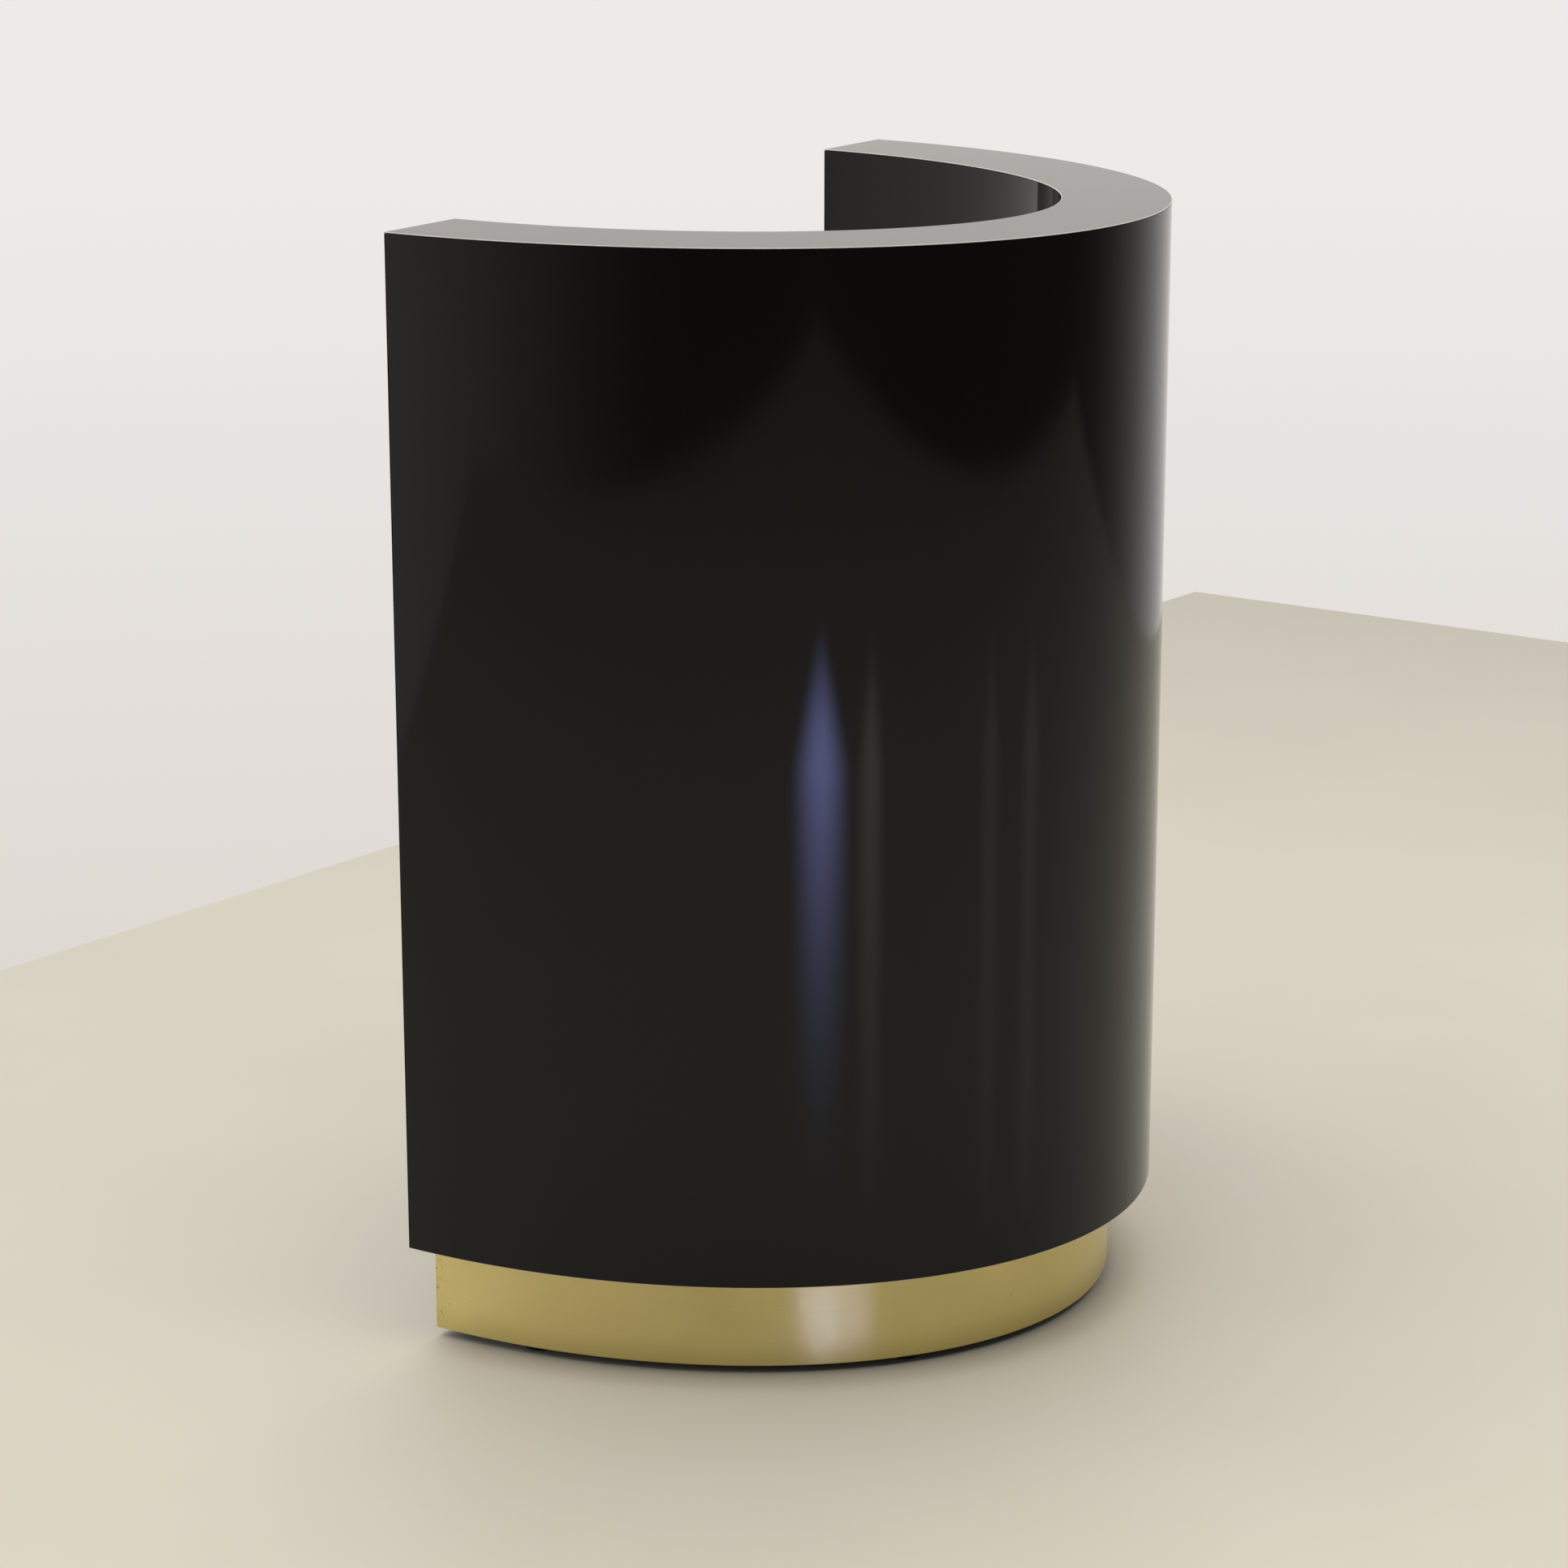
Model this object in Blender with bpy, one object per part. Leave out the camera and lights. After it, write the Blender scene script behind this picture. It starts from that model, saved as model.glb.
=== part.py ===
"""Half-oval checkout counter: a hollow laminated wall, C-shaped in plan, round a small operator's cabinet.

+Z is up, the curved front faces -Y, and the two end faces lie in one plane at +Y, where the operator
stands. The origin is on the floor, under the middle of the counter.
"""

import math

import bmesh
import bpy
from mathutils import Matrix, Vector

for leftover in list(bpy.data.objects):
    bpy.data.objects.remove(leftover, do_unlink=True)

# Driving dimensions of the whole, in metres
WIDTH = 0.832
DEPTH = 0.524
HEIGHT = 1.067
WALL = 0.104
PLINTH_CLEARANCE = 0.009  # from the floor to the plinth
KICK_HEIGHT = 0.094
KICK_INSET = 0.040  # from the wall's outer face to the toe kick
PLINTH_DEPTH = 0.054  # from the toe kick's face to the back of the plinth's box
WORKTOP_HEIGHT = 0.914

# Sheet and board thicknesses
GAP = 0.0003  # between pieces that touch
LAMINATE = 0.0012
PLY = 0.009
BOARD = 0.018
WORKTOP_BOARD = 0.025
EDGE_BAND = 0.002
BATTEN = 0.030  # the cleats' height
STEEL = 0.0012

# Places that follow from them
BACK = DEPTH / 2  # the plane of the end faces
BODY_BOTTOM = PLINTH_CLEARANCE + KICK_HEIGHT
BODY_TOP = HEIGHT - LAMINATE - GAP  # under the top laminate
CORE_OUTER = LAMINATE + GAP + PLY + GAP  # depths in from the wall's outer face
CORE_INNER = WALL - CORE_OUTER
END_FACE = BACK - LAMINATE - GAP
CORE_END = END_FACE - BOARD - GAP
INSIDE = WALL + GAP
WORKTOP_UNDER = WORKTOP_HEIGHT - WORKTOP_BOARD
DECK_TOP = BODY_BOTTOM + BOARD

# Framing
TURN_STEP = 3  # degrees between the corners of every curved piece
STRINGER_TURNS = (18, 54, 90, 126, 162)
STRINGER_HALF_TURN = 3
STRINGER_DEPTH = 0.018
NOTCH_PLAY = 0.04  # degrees, either side of a stringer
FOOT_TURNS = (12, 60, 120, 168)

# Cabinet and drawer
CABINET_HALF = 0.190  # half the clear width between the partitions
CABINET_BACK = BACK - 0.045
CABINET_FRONT = BACK - 0.268
SHELF_TOP = 0.478
REVEAL = 0.003
RAIL_HEIGHT = 0.030
DRAWER_FRONT_HEIGHT = 0.117
TRAY_BOTTOM, TRAY_TOP = 0.745, 0.812
SLIDE_LENGTH = 0.200
SLIDE_THICKNESS = 0.0127
SLIDE_HEIGHT = 0.035
SLIDE_MIDDLE_Z = 0.778
BALL_GAP = 0.0015
LOCK_HEIGHT = 0.832
PULL_HEIGHT = 0.784
PULL_HALF_SPAN = 0.064
PULL_REACH = 0.026
PULL_RADIUS = 0.005
GROMMET_Y = BACK - 0.330
GROMMET_HOLE = 0.0303


def new_material(name, colour, roughness, metallic=0.0):
    material = bpy.data.materials.new(name)
    material.use_nodes = True
    shader = material.node_tree.nodes["Principled BSDF"]
    shader.inputs["Base Color"].default_value = (*colour, 1.0)
    shader.inputs["Roughness"].default_value = roughness
    shader.inputs["Metallic"].default_value = metallic
    return material


BLACK_LAMINATE = new_material("gloss_black_laminate", (0.012, 0.012, 0.011), 0.12)
PLYWOOD = new_material("birch_plywood", (0.55, 0.40, 0.24), 0.7)
MDF = new_material("mdf_board", (0.36, 0.25, 0.15), 0.8)
PAINTED_WOOD = new_material("black_painted_wood", (0.015, 0.015, 0.015), 0.5)
GOLD_SHEET = new_material("brushed_gold_sheet", (0.42, 0.33, 0.13), 0.35, 1.0)
MELAMINE = new_material("charcoal_melamine", (0.035, 0.036, 0.038), 0.5)
ZINC_STEEL = new_material("zinc_plated_steel", (0.55, 0.56, 0.57), 0.35, 1.0)
BLACK_STEEL = new_material("powder_coated_steel", (0.03, 0.03, 0.03), 0.45)
NICKEL = new_material("nickel_plated_brass", (0.60, 0.58, 0.53), 0.25, 1.0)
BLACK_PLASTIC = new_material("black_plastic", (0.02, 0.02, 0.02), 0.4)


def new_axis(name, place, parent=None):
    """An empty on a joint's axis, or at the origin for the pieces that stay still."""
    axis = bpy.data.objects.new(name, None)
    bpy.context.collection.objects.link(axis)
    axis.parent = parent
    axis.location = Vector(place) - (parent.location if parent else Vector())
    return axis


COUNTER = new_axis("counter", (0, 0, 0))
DRAWER = new_axis("drawer_travel", (0, CABINET_BACK, SLIDE_MIDDLE_Z), COUNTER)
SLIDES = new_axis("slide_middle_travel", (0, CABINET_BACK, SLIDE_MIDDLE_Z), COUNTER)


def add(name, shape, material, parent=COUNTER, place=(0, 0, 0)):
    """Adds a finished shape, drawn in world coordinates, with its origin at a place given in them."""
    place = Vector(place)
    bmesh.ops.recalc_face_normals(shape, faces=shape.faces)
    bmesh.ops.translate(shape, verts=shape.verts, vec=-place)
    mesh = bpy.data.meshes.new(name)
    shape.to_mesh(mesh)
    shape.free()
    mesh.shade_smooth()
    mesh.set_sharp_from_angle(angle=math.radians(30))
    mesh.materials.append(material)
    piece = bpy.data.objects.new(name, mesh)
    bpy.context.collection.objects.link(piece)
    piece.parent = parent
    holder = Vector()
    while parent:
        holder += parent.location
        parent = parent.parent
    piece.location = place - holder
    return piece


def cut(piece, shape):
    """Takes a shape, drawn in world coordinates, out of a piece."""
    cutter = add(piece.name + "_cutter", shape, MDF)
    cutter.hide_render = True
    cutter.display_type = "WIRE"
    carve = piece.modifiers.new("cut", "BOOLEAN")
    carve.operation = "DIFFERENCE"
    carve.solver = "EXACT"
    carve.object = cutter


def prism(outline, low, high, along="Z"):
    """An outline extruded along an axis. Its points are (x, y), (x, z) or (y, z)."""
    order = {"Z": (0, 1, 2), "Y": (0, 2, 1), "X": (2, 0, 1)}[along]
    lift = Vector((0, 0, 0))
    lift["XYZ".index(along)] = high - low
    shape = bmesh.new()
    corners = []
    for across, up in outline:
        point = (across, up, low)
        corners.append(shape.verts.new([point[k] for k in order]))
    face = shape.faces.new(corners)
    raised = bmesh.ops.extrude_face_region(shape, geom=[face])
    moved = [item for item in raised["geom"] if isinstance(item, bmesh.types.BMVert)]
    bmesh.ops.translate(shape, verts=moved, vec=lift)
    return shape


def box(x, y, z):
    """A block from three (low, high) pairs."""
    return prism([(x[0], y[0]), (x[1], y[0]), (x[1], y[1]), (x[0], y[1])], *z)


def turned(profile, centre, along="Z", sides=24, hollow=False):
    """A profile of (radius, height) points spun round an axis through the centre."""
    shape = bmesh.new()
    points = [shape.verts.new((radius, 0, height)) for radius, height in profile]
    edges = [shape.edges.new(pair) for pair in zip(points, points[1:])]
    if hollow:
        edges.append(shape.edges.new((points[-1], points[0])))
    bmesh.ops.spin(
        shape, geom=points + edges, cent=(0, 0, 0), axis=(0, 0, 1),
        angle=2 * math.pi, steps=sides, use_merge=True,
    )
    bmesh.ops.remove_doubles(shape, verts=shape.verts, dist=0.00001)
    if along == "Y":
        bmesh.ops.rotate(
            shape, verts=shape.verts, cent=(0, 0, 0), matrix=Matrix.Rotation(-math.pi / 2, 3, "X")
        )
    bmesh.ops.translate(shape, verts=shape.verts, vec=centre)
    return shape


# The wall's plan is half an ellipse. A turn of 0 is its left end, 90 its front and 180 its right end.


def wall_point(turn, depth):
    """The plan point at a turn, a depth in from the wall's outer face."""
    angle = math.radians(turn)
    outer = Vector((-math.cos(angle) * WIDTH / 2, -math.sin(angle) * DEPTH))
    outward = Vector((-math.cos(angle) * DEPTH, -math.sin(angle) * WIDTH / 2)).normalized()
    return outer - outward * depth + Vector((0, BACK))


def square_off(end, neighbour, back):
    """The point between an end of a line and its neighbour where the line meets y = back."""
    return end.lerp(neighbour, (end.y - back) / (end.y - neighbour.y))


def wall_line(depth, back=BACK):
    """The wall's plan line at a depth, cut off square at y = back."""
    points = [wall_point(turn, depth) for turn in range(0, 181, TURN_STEP)]
    beyond = sum(point.y > back - GAP / 10 for point in points) // 2
    points = points[beyond - 1 : len(points) - beyond + 1]
    points[0] = square_off(points[0], points[1], back)
    points[-1] = square_off(points[-1], points[-2], back)
    return points


def band(outer, inner, back=BACK):
    """The plan of a curved piece between two depths."""
    return wall_line(outer, back) + wall_line(inner, back)[::-1]


def half_width(depth, y):
    """Half the plan's width at a y, at a depth in from the wall's outer face."""
    return wall_line(depth, y)[-1].x


# The wall, from its faces inwards: laminates, bent plywood skins, boards, ribs and stringers

add("outer_laminate", prism(band(0, LAMINATE, END_FACE), BODY_BOTTOM, BODY_TOP), BLACK_LAMINATE)
add("inner_laminate", prism(band(WALL - LAMINATE, WALL, END_FACE), BODY_BOTTOM, BODY_TOP), BLACK_LAMINATE)
add("top_laminate", prism(band(0, WALL), HEIGHT - LAMINATE, HEIGHT), BLACK_LAMINATE)
add("outer_skin", prism(band(LAMINATE + GAP, CORE_OUTER - GAP, END_FACE), BODY_BOTTOM, BODY_TOP), PLYWOOD)
add(
    "inner_skin",
    prism(band(CORE_INNER + GAP, WALL - LAMINATE - GAP, END_FACE), BODY_BOTTOM, BODY_TOP),
    PLYWOOD,
)
add("top_board", prism(band(CORE_OUTER, CORE_INNER, END_FACE), BODY_TOP - BOARD, BODY_TOP), MDF)
add(
    "bottom_board",
    prism(band(CORE_OUTER, CORE_INNER, END_FACE), BODY_BOTTOM, BODY_BOTTOM + BOARD),
    MDF,
)

for side, sign in (("left", 1), ("right", -1)):
    face_x = sorted((-sign * WIDTH / 2, -sign * (WIDTH / 2 - WALL)))
    end_laminate = box(face_x, (BACK - LAMINATE, BACK), (BODY_BOTTOM, BODY_TOP))
    add(f"{side}_end_laminate", end_laminate, BLACK_LAMINATE)
    board_outline = [
        (-sign * half_width(depth, y), y)
        for depth, y in (
            (CORE_OUTER, END_FACE),
            (CORE_OUTER, END_FACE - BOARD),
            (CORE_INNER, END_FACE - BOARD),
            (CORE_INNER, END_FACE),
        )
    ]
    board = prism(board_outline, BODY_BOTTOM + BOARD + GAP, BODY_TOP - BOARD - GAP)
    add(f"{side}_end_board", board, MDF)


def rib_outline():
    """A C-shaped rib, notched on its outer edge round each stringer."""
    deep = CORE_OUTER + STRINGER_DEPTH + GAP
    outer = []
    for turn in range(0, 181, TURN_STEP):
        notch = [s for s in STRINGER_TURNS if abs(turn - s) <= STRINGER_HALF_TURN]
        if not notch:
            outer.append((turn, CORE_OUTER))
            continue
        mouth = turn + math.copysign(NOTCH_PLAY, turn - notch[0])
        corners = {-1: [(mouth, CORE_OUTER), (mouth, deep), (turn, deep)], 0: [(turn, deep)]}
        corners[1] = corners[-1][::-1]
        outer += corners[(turn > notch[0]) - (turn < notch[0])]
    points = [wall_point(turn, depth) for turn, depth in outer]
    points[0] = square_off(points[0], points[1], CORE_END)
    points[-1] = square_off(points[-1], points[-2], CORE_END)
    return points + wall_line(CORE_INNER, CORE_END)[::-1]


for name, share in (("rib_lower", 1 / 3), ("rib_upper", 2 / 3)):
    bottom = BODY_BOTTOM + (BODY_TOP - BODY_BOTTOM) * share - BOARD / 2
    add(name, prism(rib_outline(), bottom, bottom + BOARD), PLYWOOD)

for number, middle in enumerate(STRINGER_TURNS, 1):
    turns = (middle - STRINGER_HALF_TURN, middle, middle + STRINGER_HALF_TURN)
    front = [wall_point(turn, CORE_OUTER) for turn in turns]
    rear = [wall_point(turn, CORE_OUTER + STRINGER_DEPTH) for turn in reversed(turns)]
    stringer = prism(front + rear, BODY_BOTTOM + BOARD + GAP, BODY_TOP - BOARD - GAP)
    add(f"stringer_{number}", stringer, PLYWOOD)

# The plinth: a toe kick bent round a curved box, a straight rail across its open back

FRONT_WEB = KICK_INSET + LAMINATE + GAP
PLATE_OUTER = FRONT_WEB + PLY + GAP
REAR_WEB = KICK_INSET + PLINTH_DEPTH - PLY
PLATE_INNER = REAR_WEB - GAP
PLINTH_TOP = BODY_BOTTOM - GAP

add("toe_kick", prism(band(KICK_INSET, KICK_INSET + LAMINATE), PLINTH_CLEARANCE, PLINTH_TOP), GOLD_SHEET)
add("plinth_front_web", prism(band(FRONT_WEB, FRONT_WEB + PLY), PLINTH_CLEARANCE, PLINTH_TOP), PAINTED_WOOD)

# The rear web turns outwards at both ends, to close the plinth's box
RETURN_FACE = BACK - PLY
rear_web = wall_line(REAR_WEB, RETURN_FACE)
left_return = [Vector((-half_width(PLATE_OUTER, y), y)) for y in (BACK, RETURN_FACE)]
right_return = [Vector((half_width(PLATE_OUTER, y), y)) for y in (RETURN_FACE, BACK)]
rear_outline = left_return + rear_web + right_return + wall_line(REAR_WEB + PLY)[::-1]
add("plinth_rear_web", prism(rear_outline, PLINTH_CLEARANCE, PLINTH_TOP), PAINTED_WOOD)

plate = add(
    "plinth_plate",
    prism(
        band(PLATE_OUTER, PLATE_INNER, RETURN_FACE - GAP), PLINTH_CLEARANCE, PLINTH_CLEARANCE + BOARD
    ),
    PAINTED_WOOD,
)

RAIL_Y = (CABINET_BACK - BOARD, CABINET_BACK)
rail_ends = [half_width(REAR_WEB + PLY + GAP, y) for y in RAIL_Y]
rail_outline = [
    (-rail_ends[0], RAIL_Y[0]), (rail_ends[0], RAIL_Y[0]),
    (rail_ends[1], RAIL_Y[1]), (-rail_ends[1], RAIL_Y[1]),
]
add("plinth_back_rail", prism(rail_outline, PLINTH_CLEARANCE, PLINTH_TOP), PAINTED_WOOD)

# Levelling feet, screwed up against their inserts

STUD_RADIUS = 0.004
STUD_TOP = 0.040
FOOT_RADIUS = 0.016
FOOT_BASE = 0.0055
COLLAR_RADIUS = 0.0065
INSERT_BORE = STUD_RADIUS + 0.0004
INSERT_RADIUS = 0.0055
FLANGE_RADIUS = 0.010
FLANGE_TOP = PLINTH_CLEARANCE - GAP
FLANGE_UNDER = FLANGE_TOP - STEEL
COLLAR_TOP = FLANGE_UNDER - GAP

foot_profile = (
    (0, 0), (FOOT_RADIUS - 0.001, 0), (FOOT_RADIUS, 0.001), (FOOT_RADIUS, 0.003),
    (COLLAR_RADIUS, FOOT_BASE), (COLLAR_RADIUS, COLLAR_TOP), (STUD_RADIUS, COLLAR_TOP),
    (STUD_RADIUS, STUD_TOP), (0, STUD_TOP),
)
insert_profile = (
    (INSERT_BORE, FLANGE_UNDER), (FLANGE_RADIUS, FLANGE_UNDER), (FLANGE_RADIUS, FLANGE_TOP),
    (INSERT_RADIUS, FLANGE_TOP), (INSERT_RADIUS, PLINTH_CLEARANCE + BOARD - STEEL),
    (INSERT_BORE, PLINTH_CLEARANCE + BOARD - STEEL),
)
plate_holes = bmesh.new()
for number, turn in enumerate(FOOT_TURNS, 1):
    x, y = wall_point(turn, (PLATE_OUTER + PLATE_INNER) / 2)
    axis = (x, y, 0)
    add(f"levelling_foot_{number}", turned(foot_profile, axis, sides=16), BLACK_PLASTIC, place=axis)
    insert = turned(insert_profile, axis, sides=16, hollow=True)
    add(f"threaded_insert_{number}", insert, ZINC_STEEL, place=axis)
    bmesh.ops.create_cone(
        plate_holes, cap_ends=True, segments=16, radius1=INSERT_RADIUS + GAP, radius2=INSERT_RADIUS + GAP,
        depth=3 * BOARD, matrix=Matrix.Translation((x, y, PLINTH_CLEARANCE)),
    )
cut(plate, plate_holes)

# The cabinet's floor, the worktop and the battens under both

DECK_BACK = BACK - 0.010
CLEAT_LOW = REAR_WEB + PLY + GAP
add(
    "deck_cleat",
    prism(band(CLEAT_LOW, CLEAT_LOW + BOARD, RAIL_Y[0] - GAP), PLINTH_TOP - BATTEN, PLINTH_TOP),
    PLYWOOD,
)
add("bottom_deck", prism(wall_line(INSIDE, DECK_BACK), BODY_BOTTOM, DECK_TOP), MELAMINE)
add(
    "worktop_cleat",
    prism(
        band(INSIDE, INSIDE + BOARD, CABINET_BACK), WORKTOP_UNDER - GAP - BATTEN, WORKTOP_UNDER - GAP
    ),
    PAINTED_WOOD,
)
edge_back = DECK_BACK - EDGE_BAND - GAP
worktop = add("worktop", prism(wall_line(INSIDE, edge_back), WORKTOP_UNDER, WORKTOP_HEIGHT), BLACK_LAMINATE)
cut(
    worktop,
    turned(
        ((0, WORKTOP_UNDER - BOARD), (GROMMET_HOLE, WORKTOP_UNDER - BOARD),
         (GROMMET_HOLE, WORKTOP_HEIGHT + BOARD), (0, WORKTOP_HEIGHT + BOARD)),
        (0, GROMMET_Y, 0), sides=36,
    ),
)
edge_half = half_width(INSIDE, DECK_BACK)
add(
    "worktop_edge",
    box((-edge_half, edge_half), (DECK_BACK - EDGE_BAND, DECK_BACK), (WORKTOP_UNDER, WORKTOP_HEIGHT)),
    BLACK_PLASTIC,
)

# The cable outlet: a liner let into the worktop, and a cap with a cable notch that turns in it

LINER_RADIUS = GROMMET_HOLE - GAP
LINER_WALL = 0.0015
RIM_RADIUS = 0.034
RIM = 0.002
LEDGE_RADIUS = 0.0265
LEDGE_Z = WORKTOP_HEIGHT - 0.008
RIM_UNDER = WORKTOP_HEIGHT + GAP
CAP_RADIUS = LINER_RADIUS - LINER_WALL - GAP
CAP_TOP = RIM_UNDER + RIM
CAP_SKIRT = CAP_RADIUS - 0.0016
NOTCH_HALF = 0.007
NOTCH_START = CAP_RADIUS - 0.014

grommet_axis = new_axis("grommet_axis", (0, GROMMET_Y, WORKTOP_HEIGHT), COUNTER)
liner_profile = (
    (LINER_RADIUS - LINER_WALL, WORKTOP_UNDER), (LINER_RADIUS, WORKTOP_UNDER), (LINER_RADIUS, RIM_UNDER),
    (RIM_RADIUS, RIM_UNDER), (RIM_RADIUS - 0.001, RIM_UNDER + RIM),
    (LINER_RADIUS - LINER_WALL, RIM_UNDER + RIM), (LINER_RADIUS - LINER_WALL, LEDGE_Z),
    (LEDGE_RADIUS, LEDGE_Z), (LEDGE_RADIUS, LEDGE_Z - RIM), (LINER_RADIUS - LINER_WALL, LEDGE_Z - RIM),
)
liner = turned(liner_profile, (0, GROMMET_Y, 0), sides=36, hollow=True)
add("grommet_liner", liner, BLACK_PLASTIC)
cap_profile = (
    (0, CAP_TOP), (CAP_RADIUS, CAP_TOP), (CAP_RADIUS, LEDGE_Z + GAP), (CAP_SKIRT, LEDGE_Z + GAP),
    (CAP_SKIRT, CAP_TOP - RIM), (0, CAP_TOP - RIM),
)
cap = add(
    "grommet_cap", turned(cap_profile, (0, GROMMET_Y, 0), sides=36), BLACK_PLASTIC,
    grommet_axis, (0, GROMMET_Y, WORKTOP_HEIGHT),
)
notch_outline = [(NOTCH_HALF, -RIM_RADIUS)]
for step in range(9):
    angle = math.pi * step / 8
    notch_outline.append((NOTCH_HALF * math.cos(angle), NOTCH_HALF * math.sin(angle) - NOTCH_START))
notch_outline.append((-NOTCH_HALF, -RIM_RADIUS))
notch = prism([(x, y + GROMMET_Y) for x, y in notch_outline], LEDGE_Z - RIM, CAP_TOP + RIM)
cut(cap, notch)

# The cabinet: partitions drilled for shelf pins, a back panel, an adjustable shelf and the lock rail

PANEL_Z = (DECK_TOP + GAP, WORKTOP_UNDER - GAP)
PIN_RADIUS = 0.0025
PIN_HOLE_DEPTH = 0.009
PIN_REACH = 0.008
PIN_PITCH = 0.032
PIN_ROWS = 5
PIN_Y = (CABINET_BACK - 0.037, CABINET_FRONT + 0.037)
SHELF_UNDER = SHELF_TOP - BOARD
PIN_Z = SHELF_UNDER - GAP - PIN_RADIUS

for side, sign in (("left", -1), ("right", 1)):
    faces = sorted((sign * CABINET_HALF, sign * (CABINET_HALF + BOARD)))
    partition = add(
        f"{side}_partition", box(faces, (CABINET_FRONT, CABINET_BACK), PANEL_Z), MELAMINE
    )
    holes = bmesh.new()
    for row in range(PIN_ROWS):
        for y in PIN_Y:
            z = PIN_Z + (row - PIN_ROWS // 2) * PIN_PITCH
            bmesh.ops.create_cone(
                holes, cap_ends=True, segments=12, radius1=PIN_RADIUS + GAP, radius2=PIN_RADIUS + GAP,
                depth=2 * PIN_HOLE_DEPTH,
                matrix=Matrix.Translation((sign * CABINET_HALF, y, z)) @ Matrix.Rotation(math.pi / 2, 4, "Y"),
            )
    cut(partition, holes)

PANEL_HALF = CABINET_HALF + BOARD
PANEL_Y = (CABINET_FRONT - GAP - PLY, CABINET_FRONT - GAP)
add("carcass_back", box((-PANEL_HALF, PANEL_HALF), PANEL_Y, PANEL_Z), MELAMINE)
add(
    "lock_rail",
    box((-CABINET_HALF + GAP, CABINET_HALF - GAP), RAIL_Y, (PANEL_Z[1] - RAIL_HEIGHT, PANEL_Z[1])),
    MELAMINE,
)
add(
    "shelf",
    box(
        (-CABINET_HALF + 0.001, CABINET_HALF - 0.001), (CABINET_FRONT + 0.002, CABINET_BACK - 0.004),
        (SHELF_UNDER, SHELF_TOP),
    ),
    MELAMINE,
)
pins = [(sign, y) for sign in (-1, 1) for y in PIN_Y]
for number, (sign, y) in enumerate(pins, 1):
    ends = (CABINET_HALF - PIN_REACH, CABINET_HALF + PIN_HOLE_DEPTH - GAP)
    pin = bmesh.new()
    bmesh.ops.create_cone(
        pin, cap_ends=True, segments=12, radius1=PIN_RADIUS, radius2=PIN_RADIUS, depth=ends[1] - ends[0],
        matrix=Matrix.Translation((sign * sum(ends) / 2, y, PIN_Z)) @ Matrix.Rotation(math.pi / 2, 4, "Y"),
    )
    add(f"shelf_pin_{number}", pin, ZINC_STEEL)

# The drawer: an inset front, a folded steel tray, a bar pull and two three-part slides

FRONT_TOP = PANEL_Z[1] - RAIL_HEIGHT - REVEAL
FRONT_Z = (FRONT_TOP - DRAWER_FRONT_HEIGHT, FRONT_TOP)
TRAY_HALF = CABINET_HALF - SLIDE_THICKNESS - GAP
TRAY_Y = (CABINET_BACK - BOARD - GAP - SLIDE_LENGTH, CABINET_BACK - BOARD - GAP)
DRAWER_ORIGIN = (0, CABINET_BACK, SLIDE_MIDDLE_Z)

drawer_front = add(
    "drawer_front", box((-CABINET_HALF + REVEAL, CABINET_HALF - REVEAL), RAIL_Y, FRONT_Z),
    BLACK_LAMINATE, DRAWER, DRAWER_ORIGIN,
)

tray = box((-TRAY_HALF, TRAY_HALF), TRAY_Y, (TRAY_BOTTOM, TRAY_TOP))
tray.normal_update()
bmesh.ops.recalc_face_normals(tray, faces=tray.faces)
mouth = [face for face in tray.faces if face.normal.z > 0.5]
bmesh.ops.inset_region(tray, faces=mouth, thickness=STEEL, use_even_offset=True)
sunk = bmesh.ops.extrude_face_region(tray, geom=mouth)
floor = [item for item in sunk["geom"] if isinstance(item, bmesh.types.BMVert)]
bmesh.ops.translate(tray, verts=floor, vec=(0, 0, TRAY_BOTTOM + STEEL - TRAY_TOP))
bmesh.ops.delete(tray, geom=[face for face in mouth if face.is_valid], context="FACES_ONLY")
add("drawer_tray", tray, BLACK_STEEL, DRAWER, DRAWER_ORIGIN)


def channel(web, lips, height):
    """A slide member's section as (x, z) points: an upright web with a lip at its top and its foot."""
    near = web[0] if abs(web[0] - lips) > abs(web[1] - lips) else web[1]
    inner = web[1] if near == web[0] else web[0]
    low, high = SLIDE_MIDDLE_Z - height / 2, SLIDE_MIDDLE_Z + height / 2
    return [
        (near, low), (lips, low), (lips, low + STEEL), (inner, low + STEEL),
        (inner, high - STEEL), (lips, high - STEEL), (lips, high), (near, high),
    ]


STEP_IN = 2 * (STEEL + BALL_GAP)
outer_web = CABINET_HALF - GAP
middle_web = outer_web - STEEL - 0.0018
inner_web = CABINET_HALF - SLIDE_THICKNESS
members = {
    "outer": (outer_web, outer_web - STEEL, outer_web - 0.010, SLIDE_HEIGHT, COUNTER, (0, 0, 0)),
    "middle": (
        middle_web, middle_web - STEEL, inner_web + STEEL + 0.0015, SLIDE_HEIGHT - STEP_IN,
        SLIDES, DRAWER_ORIGIN,
    ),
    "inner": (
        inner_web, inner_web + STEEL, middle_web - STEEL - 0.001, SLIDE_HEIGHT - 2 * STEP_IN,
        DRAWER, DRAWER_ORIGIN,
    ),
}
for side, sign in (("left", -1), ("right", 1)):
    for member, (face, inside, lips, height, holder, place) in members.items():
        section = channel((sign * face, sign * inside), sign * lips, height)
        add(f"slide_{member}_{side}", prism(section, *TRAY_Y, along="Y"), ZINC_STEEL, holder, place)

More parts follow.
